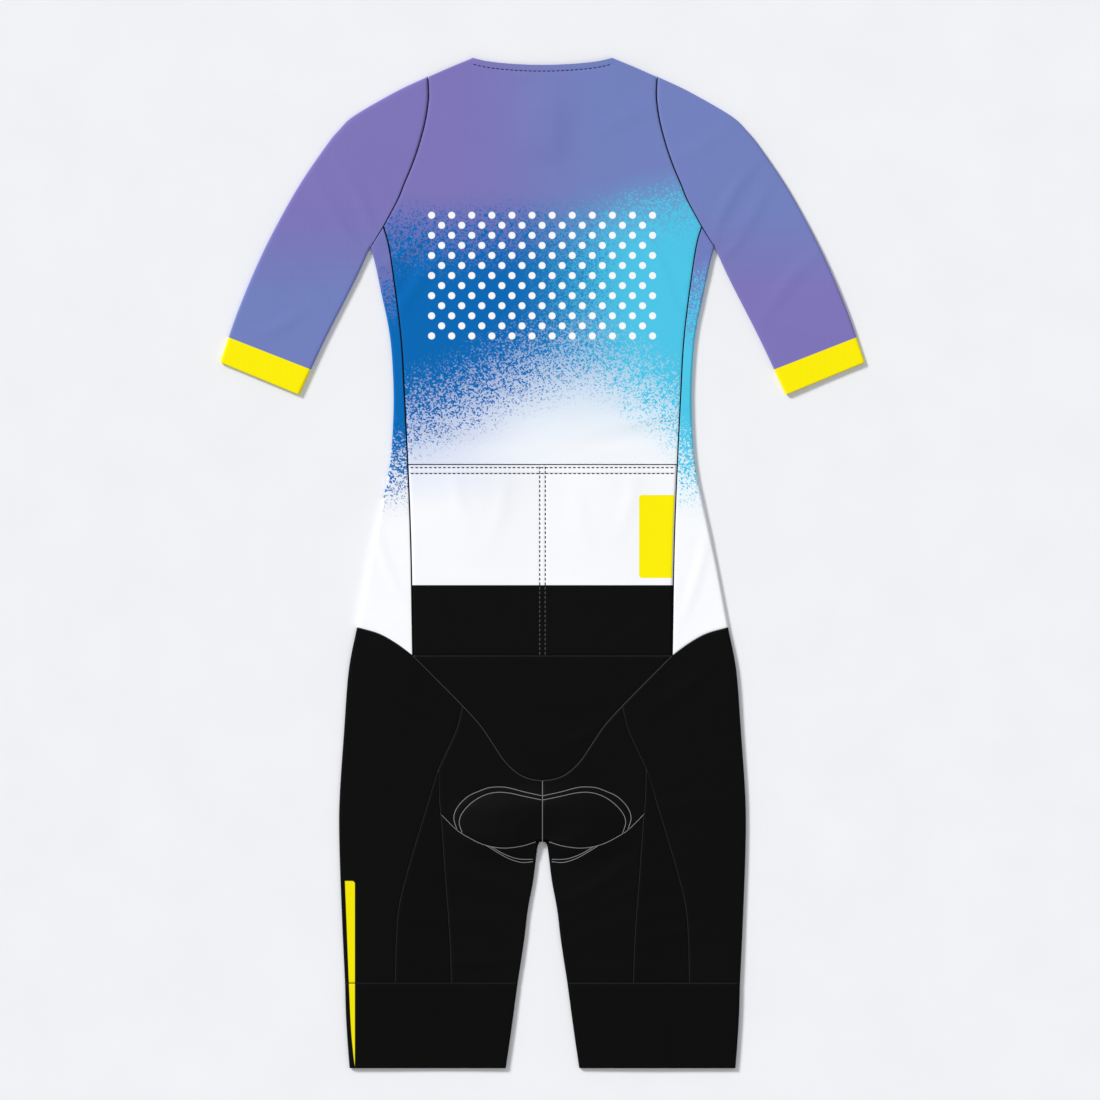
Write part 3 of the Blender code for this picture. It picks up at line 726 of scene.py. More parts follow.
def table_line(*tables, height=seam_height, side=1):
    """A line through tables, drawn on a face that looks up."""
    path = Path(*tables)
    places = [path.at(share) for share in spread(max(2, round(path.length / 2.0)))]
    return surface_line(places, height, side)


def walk(pairs, step, start=0.0):
    """Even stations along (point, normal) pairs, each as (point, normal, direction)."""
    found = []
    wanted = start
    passed = 0.0
    for (place, normal), (next_place, next_normal) in zip(pairs, pairs[1:]):
        run = (next_place - place).length
        while run > 1e-6 and wanted <= passed + run:
            share = (wanted - passed) / run
            found.append((
                place.lerp(next_place, share), normal.lerp(next_normal, share).normalized(),
                (next_place - place).normalized(),
            ))
            wanted += step
        passed += run
    return found


def add_solid(bm, rings):
    """A closed form through rings of points."""
    verts = vertices(bm, rings)
    bridge(bm, verts)
    bm.faces.new(verts[0])
    bm.faces.new(verts[-1])


def add_ridge(bm, pairs, width, height):
    """A low closed ridge along the whole of a line."""
    half = width / 2.0
    east = [(0.5 * half, height), (half, 0.4 * height), (half, -0.3)]
    section = [(-across, up) for across, up in reversed(east)] + east
    length = track_length([place for place, _ in pairs])
    rings = []
    for place, normal, direction in walk(pairs, length / math.ceil(length / RIDGE_STEP) - 1e-5):
        sideways = direction.cross(normal).normalized()
        rings.append([place + sideways * across + normal * up for across, up in section])
    add_solid(bm, rings)


def add_stitch(bm, place, normal, direction, length, width, height):
    """One stitch: a bar of thread that rises out of the cloth and dives back into it."""
    half = direction.cross(normal).normalized() * (width / 2.0)
    section = ((-1.0, -0.1), (-0.7, height * 0.75), (0.0, height), (0.7, height * 0.75), (1.0, -0.1))
    rings = []
    for share in (-0.36, 0.36):
        middle = place + direction * (length * share)
        rings.append([middle + half * across + normal * up for across, up in section])
    rings.append([place + direction * (length / 2.0 * sign) - normal * 0.15 for sign in (-1.0, 1.0)])
    first, second, tips = vertices(bm, rings)
    bridge(bm, [first, second])
    for index in range(len(section)):
        following = (index + 1) % len(section)
        bm.faces.new((tips[0], first[following], first[index]))
        bm.faces.new((tips[1], second[index], second[following]))


def add_dashes(bm, pairs, length=3.5, pitch=5.05, width=1.3, height=0.5):
    for place, normal, direction in walk(pairs, pitch, pitch / 2.0):
        add_stitch(bm, place, normal, direction, length, width, height)


def add_seam(bm, pairs, width, height=0.15):
    """A flat seam: a low ridge crossed by a zigzag of thread."""
    add_ridge(bm, pairs, width, height)
    lean = 1.0
    for place, normal, direction in walk(pairs, 1.6, 0.8):
        across = direction.cross(normal).normalized()
        slant = (direction + across * lean * 1.1).normalized()
        add_stitch(bm, place + normal * height * 0.6, normal, slant, width + 0.4, 0.5, 0.24)
        lean = -lean


def closed_item(name, bm, material):
    """An object from closed forms, with their faces turned outwards."""
    bmesh.ops.recalc_face_normals(bm, faces=bm.faces)
    return new_item(name, bm, material)


def thread_item(name, lines, material, add, **sizes):
    """One piece for all the threads of a kind."""
    bm = bmesh.new()
    for pairs in lines:
        add(bm, pairs, **sizes)
    closed_item(name, bm, material)


# Materials.


def srgb(red, green, blue):
    """A colour given as a screen shows it, 0 to 255, as the shader needs it."""
    linear = []
    for value in (red / 255.0, green / 255.0, blue / 255.0):
        linear.append(value / 12.92 if value <= 0.04045 else ((value + 0.055) / 1.055) ** 2.4)
    return (*linear, 1.0)


VIOLET = srgb(127, 118, 185)
LAVENDER = srgb(121, 123, 186)
PERIWINKLE = srgb(115, 129, 190)
BLUE = srgb(0, 104, 180)
CYAN = srgb(77, 199, 232)
YELLOW = srgb(255, 240, 0)
WHITE = srgb(250, 251, 253)
BLACK = srgb(6, 6, 7)


def operator(operation, swapped=False):
    """Arithmetic on a value, which adds a math node."""

    def apply(value, other=None):
        return value.paint.math(operation, *((other, value) if swapped else (value, other)))

    return apply


class Value:
    """The output of a node, which can be worked with as if it were a number."""

    __add__ = __radd__ = operator("ADD")
    __mul__ = __rmul__ = operator("MULTIPLY")
    __sub__ = operator("SUBTRACT")
    __rsub__ = operator("SUBTRACT", swapped=True)
    __truediv__ = operator("DIVIDE")
    __pow__ = operator("POWER")
    __abs__ = operator("ABSOLUTE")
    __gt__ = operator("GREATER_THAN")
    __lt__ = operator("LESS_THAN")

    def __init__(self, paint, socket):
        self.paint = paint
        self.socket = socket


class Paint:
    """A node material that is being put together, with short calls for its nodes."""

    def __init__(self, name, roughness, sheen=0.0, specular=0.3):
        self.material = bpy.data.materials.new(name)
        self.material.use_nodes = True
        self.tree = self.material.node_tree
        self.shader = self.tree.nodes["Principled BSDF"]
        self.set("Specular IOR Level", specular)
        self.set("Sheen Weight", sheen)
        self.set("Sheen Roughness", 0.4)
        coordinates = self.add("ShaderNodeTexCoord", output="Object")
        self.place = self.vector("MULTIPLY", coordinates, (1000.0, 1000.0, 1000.0))
        self.x, y, self.z = (self.add("ShaderNodeSeparateXYZ", (self.place,), axis) for axis in "XYZ")
        self.down = LENGTH / 2.0 - y
        self.out = abs(self.x)
        self.set("Roughness", self.noise(0.35, 4.0) * 0.16 + (roughness - 0.08))

    def add(self, kind, values=(), output=0, named=None, **settings):
        """The output of a new node, with the values of its first inputs and of those that are named."""
        node = self.tree.nodes.new(kind)
        for key, value in settings.items():
            setattr(node, key, value)
        for socket, value in zip(node.inputs, values):
            self.feed(socket, value)
        for name, value in (named or {}).items():
            self.feed(node.inputs[name], value)
        return Value(self, node.outputs[output])

    def feed(self, socket, value):
        if isinstance(value, Value):
            self.tree.links.new(value.socket, socket)
        elif value is not None:
            socket.default_value = value

    def set(self, name, value):
        self.feed(self.shader.inputs[name], value)

    def math(self, operation, a, b=None):
        return self.add("ShaderNodeMath", (a, b), operation=operation)

    def vector(self, operation, a, b=None, scale=None):
        return self.add("ShaderNodeVectorMath", (a, b, None, scale), operation=operation)

    def hypot(self, a, b):
        return self.math("SQRT", a * a + b * b)

    def share(self, value, low, high, kind="LINEAR"):
        """0 at low and 1 at high."""
        return self.add("ShaderNodeMapRange", (value, low, high), interpolation_type=kind)

    def step(self, value, low, high):
        """0 at low, 1 at high, and smooth between them. Low may be the greater of the two."""
        return self.share(value, low, high, "SMOOTHSTEP")

    def crisp(self, value, edge, half=0.3):
        """0 below an edge and 1 above it, or the other way round where half is negative."""
        return self.step(value, edge - half, edge + half)

    def mix(self, share, a, b):
        """A colour between two: they are the node's last inputs, and the colour is its third output."""
        return self.add("ShaderNodeMix", (share, *[None] * 5, a, b), 2, data_type="RGBA")

    def ramp(self, value, *stops):
        """Colours along a value, each stop (value, colour)."""
        low, high = stops[0][0], stops[-1][0]
        colour = self.add("ShaderNodeValToRGB", (self.share(value, low, high),))
        elements = colour.socket.node.color_ramp.elements
        while len(elements) < len(stops):
            elements.new(0.5)
        for element, (place, stop_colour) in zip(elements, stops):
            element.position = (place - low) / (high - low)
            element.color = stop_colour
        return colour

    def curve(self, value, scale, points):
        """A height read off a smooth curve, each of its points (value, height)."""
        low, high = points[0][0], points[-1][0]
        height = self.add("ShaderNodeFloatCurve", (1.0, self.share(value, low, high)))
        mapping = height.socket.node.mapping
        line_points = mapping.curves[0].points
        while len(line_points) < len(points):
            line_points.new(0.5, 0.5)
        for item, (place, up) in zip(line_points, points):
            item.location = ((place - low) / (high - low), up / scale)
        mapping.update()
        return height * scale

    def noise(self, scale, detail=2.0, output=0):
        named = {"Vector": self.place, "Scale": scale, "Detail": detail}
        return self.add("ShaderNodeTexNoise", (), output, named)

    def voronoi(self, output, vector, size, randomness=1.0):
        named = {"Vector": vector, "Scale": 1.0 / size, "Randomness": randomness}
        return self.add("ShaderNodeTexVoronoi", (), output, named, voronoi_dimensions="2D")

    def wave(self, direction, scale, distortion=0.0):
        named = {"Scale": scale, "Distortion": distortion, "Detail Scale": 0.4}
        return self.add("ShaderNodeTexWave", (self.place,), 1, named, bands_direction=direction)

    def cells(self, size, shift):
        """A value from 0 to 1 that is the same all over one speck of the spray."""
        wobble = self.vector("SCALE", self.noise(1.1 / size, 1.0, output=1), scale=size * 0.9)
        moved = self.vector("ADD", self.vector("ADD", self.place, wobble), (shift, -shift, 0.0))
        return self.add("ShaderNodeSeparateColor", (self.voronoi("Color", moved, size),))

    def layered(self, value, power):
        """1 - (1 - value) to a power, as thin layers of ink add up."""
        return 1.0 - (1.0 - value) ** power

    def spray(self, coverage, shift, size=1.5, haze=0.3):
        """Sprayed specks that cover a share of the cloth, over a thin haze of the same colour."""
        level = self.cells(size, shift) * 0.7 + self.cells(size * 0.62, shift + 31.0) * 0.3
        reach = self.layered(coverage, 1.12) * 1.24 - 0.12
        speck = self.crisp(reach - self.step(level, 0.08, 0.92), 0.0, 0.12)
        mist = self.layered(coverage * haze, 2.2)
        return speck * (1.0 - mist) + mist

    def bump(self, height, strength, distance):
        named = {"Strength": strength, "Distance": distance * MM, "Height": height}
        self.set("Normal", self.add("ShaderNodeBump", named=named))

    def wales(self, pitch, direction="X"):
        """Fine knitted columns."""
        return self.wave(direction, 0.314 / pitch, 0.6)

    def knit(self, pitch, strength=0.35):
        """A jersey knit: columns crossed by courses, a little uneven."""
        loops = self.wales(pitch) * 0.65 + self.wales(pitch * 0.7, "Y") * 0.35
        self.bump(loops + self.noise(0.05, 3.0) * 0.5, strength, 0.12)
        return loops

    def open_knit(self, pitch):
        """Small round holes in staggered rows: 0 in a hole."""
        turn = {"Rotation": (0.0, 0.0, math.radians(45.0))}
        turned = self.add("ShaderNodeMapping", (self.place,), named=turn)
        yarn = self.step(self.voronoi("Distance", turned, pitch, 0.0), 0.16, 0.34)
        self.bump(yarn, 0.5, 0.2)
        return yarn

    def colour(self, base, texture, depth=0.1, blotch=0.05):
        """The base colour, darker where the texture is low, and uneven as dyed cloth is. With a knit's loops
        and holes or a thread's twist as the texture, the darkening is painted shade.
        """
        cloud = self.noise(0.012, 3.0) * blotch + (1.0 - blotch / 2.0)
        # painted shade where the texture is low, times the dye's unevenness
        shade = (texture * depth + (1.0 - depth)) * cloud
        base = base[:3] if isinstance(base, tuple) else base
        self.set("Base Color", self.vector("SCALE", base, scale=shade))
        return self.material


def polka_dots(paint):
    """1 on the white dots: thirteen staggered rows."""
    across = (paint.x - FIRST_DOT[1]) / DOT_PITCH
    along = (paint.down - FIRST_DOT[0]) / (2.0 * DOT_ROW_STEP)

    def nearest(shift):
        """Distance to the nearest dot of the even or the odd rows."""
        steps = []
        for value, size in ((across, DOT_PITCH), (along, 2.0 * DOT_ROW_STEP)):
            moved = value - shift
            steps.append((moved - paint.math("ROUND", moved)) * size)
        return paint.hypot(*steps)

    dots = paint.crisp(paint.math("MINIMUM", nearest(0.0), nearest(0.5)), DOT_RADIUS, -0.35)
    for value, low, high in ((across, *DOTS_ACROSS), (along, *DOTS_ALONG)):
        dots = dots * (value > low) * (value < high)
    return dots


def body_base(paint):
    """The smooth ground of the print: violet at the top, through pale blue to white, later on the left."""
    top = paint.ramp(paint.x, (-85.0, VIOLET), (-20.0, LAVENDER), (45.0, PERIWINKLE))
    left = paint.ramp(
        paint.down, (320.0, srgb(178, 186, 226)), (360.0, srgb(204, 210, 238)), (395.0, srgb(213, 219, 243)),
        (425.0, srgb(219, 227, 246)), (452.0, srgb(232, 237, 250)), (510.0, WHITE),
    )
    right = paint.ramp(
        paint.down, (320.0, srgb(188, 208, 238)), (350.0, srgb(212, 226, 245)), (390.0, srgb(233, 242, 251)),
        (425.0, srgb(247, 250, 254)), (460.0, WHITE),
    )
    foot = paint.mix(paint.step(paint.x, -150.0, 40.0), left, right)
    return paint.mix(paint.step(paint.down, 225.0, 335.0), top, foot)


def ink(paint, blend):
    """The sprayed colour: blue at one side and cyan at the other, with specks of blue where they meet."""
    speck = 1.0 - paint.spray(1.0 - blend, 57.0, 1.3)
    return paint.mix((speck * 0.5 + blend * 0.5) ** 1.2, BLUE, CYAN)


def band_between(paint, upper_line, upper_half, lower_line, lower_half):
    """How much of the cloth the spray covers between two uneven, soft lines."""
    below_upper = paint.step((paint.down - upper_line) / upper_half, -1.0, 1.0)
    return below_upper * paint.step((paint.down - lower_line) / lower_half, 1.0, -1.0)


def front_print(paint):
    """Colour of the jersey's front: a band sprayed over the smooth ground."""
    upper_line, lower_line = (paint.curve(paint.x, 500.0, points) for points in (UPPER_FADE, LOWER_FADE))
    lower_half = paint.step(paint.x, -110.0, -10.0) * 14.0 + 82.0
    coverage = band_between(paint, upper_line, 66.0, lower_line, lower_half)
    blend = paint.step(paint.x, -58.0, 115.0)
    haze = blend * paint.step(paint.down, 290.0, 220.0) * 0.25 + 0.38
    return paint.mix(paint.spray(coverage, 0.0, haze=haze), body_base(paint), ink(paint, blend))


def back_print(paint):
    """Colour of the jersey's back: the front's print with white dots, and black at its foot."""
    dotted = paint.mix(polka_dots(paint), front_print(paint), WHITE)
    return paint.mix(paint.crisp(paint.down, BLOCK_TOP), dotted, BLACK)


def side_print(paint):
    """Colour of the side panels: a sprayed band that fades to white, blue on the left, cyan on the right."""
    right = paint.x > 0.0
    top = paint.mix(right, srgb(116, 118, 183), srgb(113, 125, 190))
    base = paint.mix(paint.step(paint.down, 300.0, 380.0), top, WHITE)
    fades = [right * (right_value - left_value) + left_value for left_value, right_value in SIDE_FADES]
    return paint.mix(paint.spray(band_between(paint, *fades), 13.0), base, paint.mix(right, BLUE, CYAN))


def sleeve_print(paint):
    """Colour of the sleeves: a violet and blue fade, the other way up on the right, with yellow cuffs."""
    left, right = (
        paint.ramp(paint.down, (170.0, above), (213.0, LAVENDER), (255.0, below))
        for above, below in ((VIOLET, PERIWINKLE), (PERIWINKLE, VIOLET))
    )
    past = (paint.down - CUFF_POINT[0]) * CUFF_NORMAL[0] + (paint.out - CUFF_POINT[1]) * CUFF_NORMAL[1]
    return paint.mix(paint.crisp(past, 0.0), paint.mix(paint.x > 0.0, left, right), YELLOW)


def rounded(paint, across, along, corner):
    """1 inside a form with round corners, measured from the middle of one of them."""
    distance = paint.hypot(paint.math("MAXIMUM", across, 0.0), paint.math("MAXIMUM", along, 0.0))
    return paint.crisp(distance, corner, -0.25)


def pocket_print(paint):
    """Colour of the pockets: white over black, with a plain yellow patch beside the right side seam."""
    tint = paint.step(paint.x, 40.0, -150.0) * paint.step(paint.down, 500.0, 443.0)
    along, across = (
        abs(value - middle) - (half - PATCH_CORNER)
        for value, middle, half in zip((paint.down, paint.x), PATCH_MIDDLE, PATCH_HALVES)
    )
    patched = paint.mix(
        rounded(paint, across, along, PATCH_CORNER), paint.mix(tint, WHITE, srgb(232, 236, 250)), YELLOW,
    )
    return paint.mix(paint.crisp(paint.down, BLOCK_TOP), patched, BLACK)


def strip_mask(paint):
    """1 on the plain yellow strip beside the left leg's outer fold, which ends in a point in the leg band."""
    across = paint.x - (STRIP_EDGE - STRIP_CORNER)
    along = STRIP_TOP + STRIP_CORNER - paint.down
    outer = paint.crisp(paint.x + paint.curve(paint.down, 250.0, STRIP_OUTER), 0.0, 0.25)
    return rounded(paint, across, along, STRIP_CORNER) * outer * (paint.z > STACK / 2.0)


def printed_cloth(name, colour_of, pitch, strength=0.35, holes=False):
    paint = Paint(name, roughness=0.75, sheen=0.03, specular=0.08)
    texture = paint.open_knit(pitch) if holes else paint.knit(pitch, strength)
    # The knit's loops, or the mesh's holes, darken the colour: painted shade.
    return paint.colour(colour_of(paint), texture)


def black_cloth(name, pitch, sheen, roughness=0.6, strip=True, holes=False):
    paint = Paint(name, roughness=roughness, sheen=sheen, specular=0.07)
    texture = paint.open_knit(pitch) if holes else paint.knit(pitch)
    base = paint.mix(strip_mask(paint), BLACK, YELLOW) if strip else BLACK
    # The knit's loops, or the mesh's holes, darken the colour: painted shade.
    return paint.colour(base, texture, depth=0.25, blotch=0.2)


def thread(name, colour, roughness=0.6, on_black=None):
    """Twisted thread, which may have a second colour below the pockets' white."""
    paint = Paint(name, roughness=roughness, specular=0.05)
    if on_black:
        colour = paint.mix(paint.crisp(paint.down, BLOCK_TOP), colour, on_black)
    twist = paint.wave("DIAGONAL", 0.9)
    paint.bump(twist, 0.4, 0.08)
    # The twist's grooves darken the colour: painted shade.
    return paint.colour(colour, twist, depth=0.2)


# Pieces of the jersey.


def build_back_body():
    left, right = (hung_rows(BACK_EDGE, 0.0, side, 38, back_height, -1, PLAIN) for _, side in SIDES)
    rows = [west[:0:-1] + east for west, east in zip(left, right)]
    cloth = printed_cloth("printed_knit", back_print, 0.9)
    shell("back_body", rows, cloth, "jersey_front_left_cloth", "jersey_front_right_cloth")


def build_jersey_fronts():
    edge = edge_function(FRONT_NECK, SHOULDER)
    cloth = printed_cloth("front_knit", front_print, 0.9)
    for label, side in SIDES:
        rows = hung_rows(edge, ZIP_HALF + LIE_GAP, side, 36, low_height, 1, SEAM)
        shell(f"jersey_front_{label}", rows, cloth, faces_up=False)


def build_side_panels():
    place = patch(SIDE_SEAM_LINE, Path(BODY_SIDE), Path(ARMHOLE_UNDER), Path(JERSEY_HEM))
    cloth = printed_cloth("side_mesh", side_print, 1.7, holes=True)
    return both("side_panel", cloth, SIDE_SEAM_LINE.stations(3.6), partial(wrap_row, place, place, (16, 14)))


def build_sleeves():
    def clear(row):
        """A place on the armhole, moved off its seam."""
        return row[0] - SEAM_GAP, row[1] + 2.0 * SEAM_GAP

    armhole = Path(*[[clear(row) for row in table] for table in (ARMHOLE_BACK, ARMHOLE_UNDER)])
    outer, inner = (Path([clear(table[0])] + table[1:]) for table in (SLEEVE_OUTER, SLEEVE_INNER))
    place = patch(outer, inner, armhole, haste=8)
    cloth = printed_cloth("sleeve_knit", sleeve_print, 1.3, strength=0.5)
    stations = inner.stations(1.9, ((0.0, 0.3), (1.6, 0.0)), HEM)
    return both("sleeve", cloth, stations, partial(tube_row, place, outer, inner, 44), closed=True)


def build_pocket_panel():
    """One cloth with a thicker turned hem, held down along its middle, its sides and its foot."""
    foot = WAIST_BACK[0]
    downs = [POCKET_TOP + drop for drop in POCKET_DROPS] + spread(58, POCKET_TOP + 14.0, foot - 4.0)
    downs += [foot - rise for rise in (2.8, 2.0, 1.4, 1.0)]
    rows = []
    for down in downs:
        half = pocket_half(down)
        columns = [(out, 0.0) for out in POCKET_OUTS + spread(36, 9.0, half - 3.0)]
        columns += [(half - 1.8, 0.05), (half - 1.0, 0.15), (half - 0.4, 0.3), (half, 0.5)]
        columns = [(-out, sunk) for out, sunk in columns[:0:-1]] + columns
        dip = max(0.25 * bell(down - POCKET_TOP, 0.5), 0.4 * bell(down - foot + 1.0, 1.2))
        rows.append([on_face(pocket_height, (down, x), 1, -max(sunk, dip)) for x, sunk in columns])
    shell("pocket_panel", rows, printed_cloth("pocket_knit", pocket_print, 0.9), "back_body_cloth")


# Pieces of the shorts.


def build_back_yoke(cloth):
    depth = edge_function(YOKE)
    half = WAIST_BACK[1] - 2.5
    top = WAIST_BACK[0] + SEAM_GAP
    rows = []
    for share in (0.0, 0.004, 0.01, 0.02, *spread(34, 0.04, 0.96), 0.98, 0.99, 0.996, 1.0):
        row = []
        for x in spread(84, -half, half):
            bottom = depth(abs(x)) - 2.0 * SEAM_GAP
            down = mix(top, bottom, share)
            edge = min(down - top, (bottom - down) * 0.75)
            row.append(on_face(top_height, (down, x), 1, -0.5 * smoothstep(2.2, 0.0, edge)))
        rows.append(row)
    shell("back_yoke", rows, cloth, "shorts_front_left_cloth", "shorts_front_right_cloth")


def build_seat(cloth):
    crotch = Path([(CROTCH - 3.0, 0)] + CROTCH_SEAM[-2::-1])
    centre = line((YOKE_POINT, 0), (CROTCH - 3.0, 0))
    outer = Path(SEAT_SIDE, [SEAT_SIDE[-1], LEG_INNER_SEAM[1], CROTCH_SEAM[0]])
    place = patch(centre, outer, Path(YOKE[:1:-1]), crotch)
    both("seat", cloth, outer.stations(1.7), partial(flat_row, place, 64), "seat_pad_foam")


def build_shorts_sides(cloth):
    seam = Path(YOKE[:3], SEAT_SIDE, LEG_OUTER_SEAM)
    outer, hem = Path(SHORTS_OUTER), Path(JERSEY_HEM)
    top, under = (patch(inner, outer, hem) for inner in (seam, Path(FRONT_SIDE_SEAM)))
    return both("shorts_side", cloth, seam.stations(3.8), partial(wrap_row, top, under, (24, 20)))


def build_back_legs(cloth):
    apex = LEG_OUTER_SEAM[0][0] + 2.5
    inner, outer = (
        Path([(apex, Path(table).out_at(apex))] + table[1:]) for table in (LEG_INNER_SEAM, LEG_OUTER_SEAM)
    )
    row_of = partial(flat_row, patch(inner, outer), 14)
    both("back_leg", cloth, outer.stations(3.4), row_of, "shorts_front_{}_cloth")


def build_inner_legs(cloth):
    fold = Path(LEG_INNER)
    top = patch(Path([CROTCH_SEAM[0]] + LEG_INNER_SEAM[2:]), fold, Path(CROTCH_SEAM))
    under = patch(Path(FRONT_INNER_SEAM), fold)
    return both("inner_leg", cloth, fold.stations(2.0), partial(wrap_row, top, under, (54, 16)))


def build_leg_bands(cloth):
    inner, outer = Path(BAND_INNER), Path(BAND_OUTER)
    row_of = partial(tube_row, patch(inner, outer), inner, outer, 48)
    return both("leg_band", cloth, inner.stations(3.4, SEAM, HEM), row_of, closed=True)


def build_shorts_fronts(cloth):
    """The shorts' fronts, whose tops go up inside the jersey's hem."""
    hem, half = WAIST_BACK
    top = hem - FRONT_TUCK
    side_seam, inner_seam = Path(FRONT_SIDE_SEAM), Path(FRONT_INNER_SEAM)

    def height(x, down):
        return (JERSEY_WALL + LIE_GAP) * smoothstep(hem + 16.0, hem, down) + low_height(x, down)

    def row_of(down, dip, side):
        outer = half - 3.0 if down < hem + SEAM_GAP else side_seam.out_at(down) - 2.0 * SEAM_GAP
        inner = SEAM_GAP if down < CROTCH else inner_seam.out_at(down) + 2.0 * SEAM_GAP
        return [on_face(height, (down, out), side, max(sunk, dip)) for out, sunk in graded(inner, outer, 30)]

    downs = [top, top + 0.5, top + 1.2] + spread(14, top + 4.0, hem + 0.1) + spread(8, hem + 1.0, hem + 18.0)
    downs += spread(48, hem + 22.0, CROTCH - 4.0) + [CROTCH - 0.3] + spread(38, CROTCH, BAND_TOP - 4.0)
    stations = [(down, 0.0) for down in downs]
    stations += [(BAND_TOP - SEAM_GAP - distance, dip) for distance, dip in reversed(SEAM)]
    both("shorts_front", cloth, stations, row_of, faces_up=False)


def build_seat_pad():
    """The pad between the layers: two crowned halves, a channel down the middle and a thin stitched rim."""
    limit = CROTCH - PAD_MARGIN * 1.2
    crown = []
    for along in spread(36, -PAD_SPAN, PAD_SPAN):
        half = PAD_HALF_WIDTH * (1.0 - abs(along) ** PAD_POWER) ** (1.0 / PAD_POWER)
        row = []
        for across in spread(84, -PAD_SPAN, PAD_SPAN):
            x = across * half
            down = PAD_CENTRE + along * PAD_HALF_LENGTH
            if down > limit:
                allowed = INSEAM.out_at(max(down, CROTCH)) + PAD_MARGIN
                down = mix(limit, down, smoothstep(allowed * 0.4, allowed * 2.2, abs(x)))
            rim = smoothstep(0.7, 0.95, pad_distance(down, abs(x)))
            channel = 0.8 * bell(abs(x) - 4.0, 4.0)
            z = STACK + pad_bulge(down, abs(x)) - 2.4 - 1.1 * rim - channel
            row.append(point((down, x), max(z, PAD_FOOT + 0.4), 1))
        crown.append(row)
    foot = [[(x, y, PAD_FOOT) for x, y, _ in row] for row in crown]
    bm = bmesh.new()
    for rows in (crown, foot):
        bridge(bm, vertices(bm, rows), closed=False)
    bmesh.ops.bridge_loops(bm, edges=[edge for edge in bm.edges if edge.is_boundary])
    paint = Paint("pad_foam", roughness=0.9, sheen=0.2, specular=0.1)
    brushed = paint.noise(1.4, 4.0)
    paint.bump(brushed, 0.6, 0.3)
    item = closed_item("seat_pad_foam", bm, paint.colour(srgb(58, 58, 64), brushed, depth=0.3))
    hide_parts("seat_pad")


# The front zip.


def build_tape():
    """The edges of the zip's two tapes, with the closed coil between them."""
    top = FRONT_NECK_DROP + 3.0
    bottom = WAIST_BACK[0] - SEAM_GAP
    rows = []
    for down in spread(60, top, SLIDER_DOWN + 60.0) + spread(110, SLIDER_DOWN + 64.0, bottom):
        rows.append([on_face(low_height, (down, x), 1, 0.55 + 0.2 * bell(x, 0.9)) for x in TAPE_COLUMNS])
    shell("front_zip", rows, thread("zip_tape", srgb(20, 20, 22)), faces_up=False, wall=0.45)

    bm = bmesh.new()
    for index, down in enumerate(spread(int((bottom - top) / COIL_PITCH), top + 1.0, bottom - 1.0)):
        if abs(down - SLIDER_DOWN) < 5.5:
            continue
        side = 1.0 if index % 2 else -1.0
        place = Vector(point((down, 0.75), low_height(0.0, down) + 0.32, side))
        slant = Vector((1.0, 0.12 * side, 0.0)).normalized()
        add_stitch(bm, place, Vector((0.0, 0.0, -1.0)), slant, length=2.6, width=0.75, height=0.28)
    coil = closed_item("zip_coil", bm, thread("zip_coil", srgb(30, 30, 33), 0.4))


def build_slider():
    """The slider: a shield with a raised rim, a wedge for the coil and a bridge for the pull."""
    bm = bmesh.new()
    rings = []
    for scale, rise in SLIDER_LEVELS:
        ring = [(step * scale, half * scale) for step, half in SLIDER_OUTLINE]
        ring += [(step, -half) for step, half in reversed(ring)]
        rings.append([point((SLIDER_DOWN + step, x), SLIDER_PLATE - rise, 1) for step, x in ring])
    add_solid(bm, rings)
    for ends in zip(SLIDER_BRIDGE, SLIDER_BRIDGE[1:]):
        add_solid(bm, [
            [point((SLIDER_DOWN + step, x), SLIDER_PLATE - rise + up, 1) for x, up in BRIDGE_SECTION]
            for step, rise in ends
        ])
    paint = Paint("slider_enamel", roughness=0.35, specular=0.5)
    worn = paint.step(paint.noise(0.9, 3.0), 0.6, 0.75)
    paint.bump(paint.noise(2.5), 0.15, 0.05)
    enamel = paint.colour(paint.mix(worn, srgb(26, 26, 28), srgb(70, 70, 74)), paint.noise(0.5), depth=0.15)
    item = closed_item("zip_slider_body", bm, enamel)
    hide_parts("zip_slider")


def build_pull():
    """A soft woven tape, sewn into a loop."""
    rows = []
    for share in spread(40):
        down = mix(SLIDER_DOWN - 1.0, SLIDER_DOWN + 17.0, share)
        half = PULL_HALF * mix(0.55, 1.0, smoothstep(0.0, 0.2, share))
        half *= mix(1.0, 0.75, smoothstep(0.93, 1.0, share))
        z = SLIDER_PLATE - PULL_DEPTH + 0.12 * math.sin(share * 9.0)
        columns = spread(10, -1.0, 1.0)
        rows.append([point((down, half * across), z + 0.1 * across**2, 1) for across in columns])
    shell("zip_pull", rows, thread("pull_tape", srgb(24, 24, 26), 0.8), faces_up=False, wall=0.7)


# Threads.


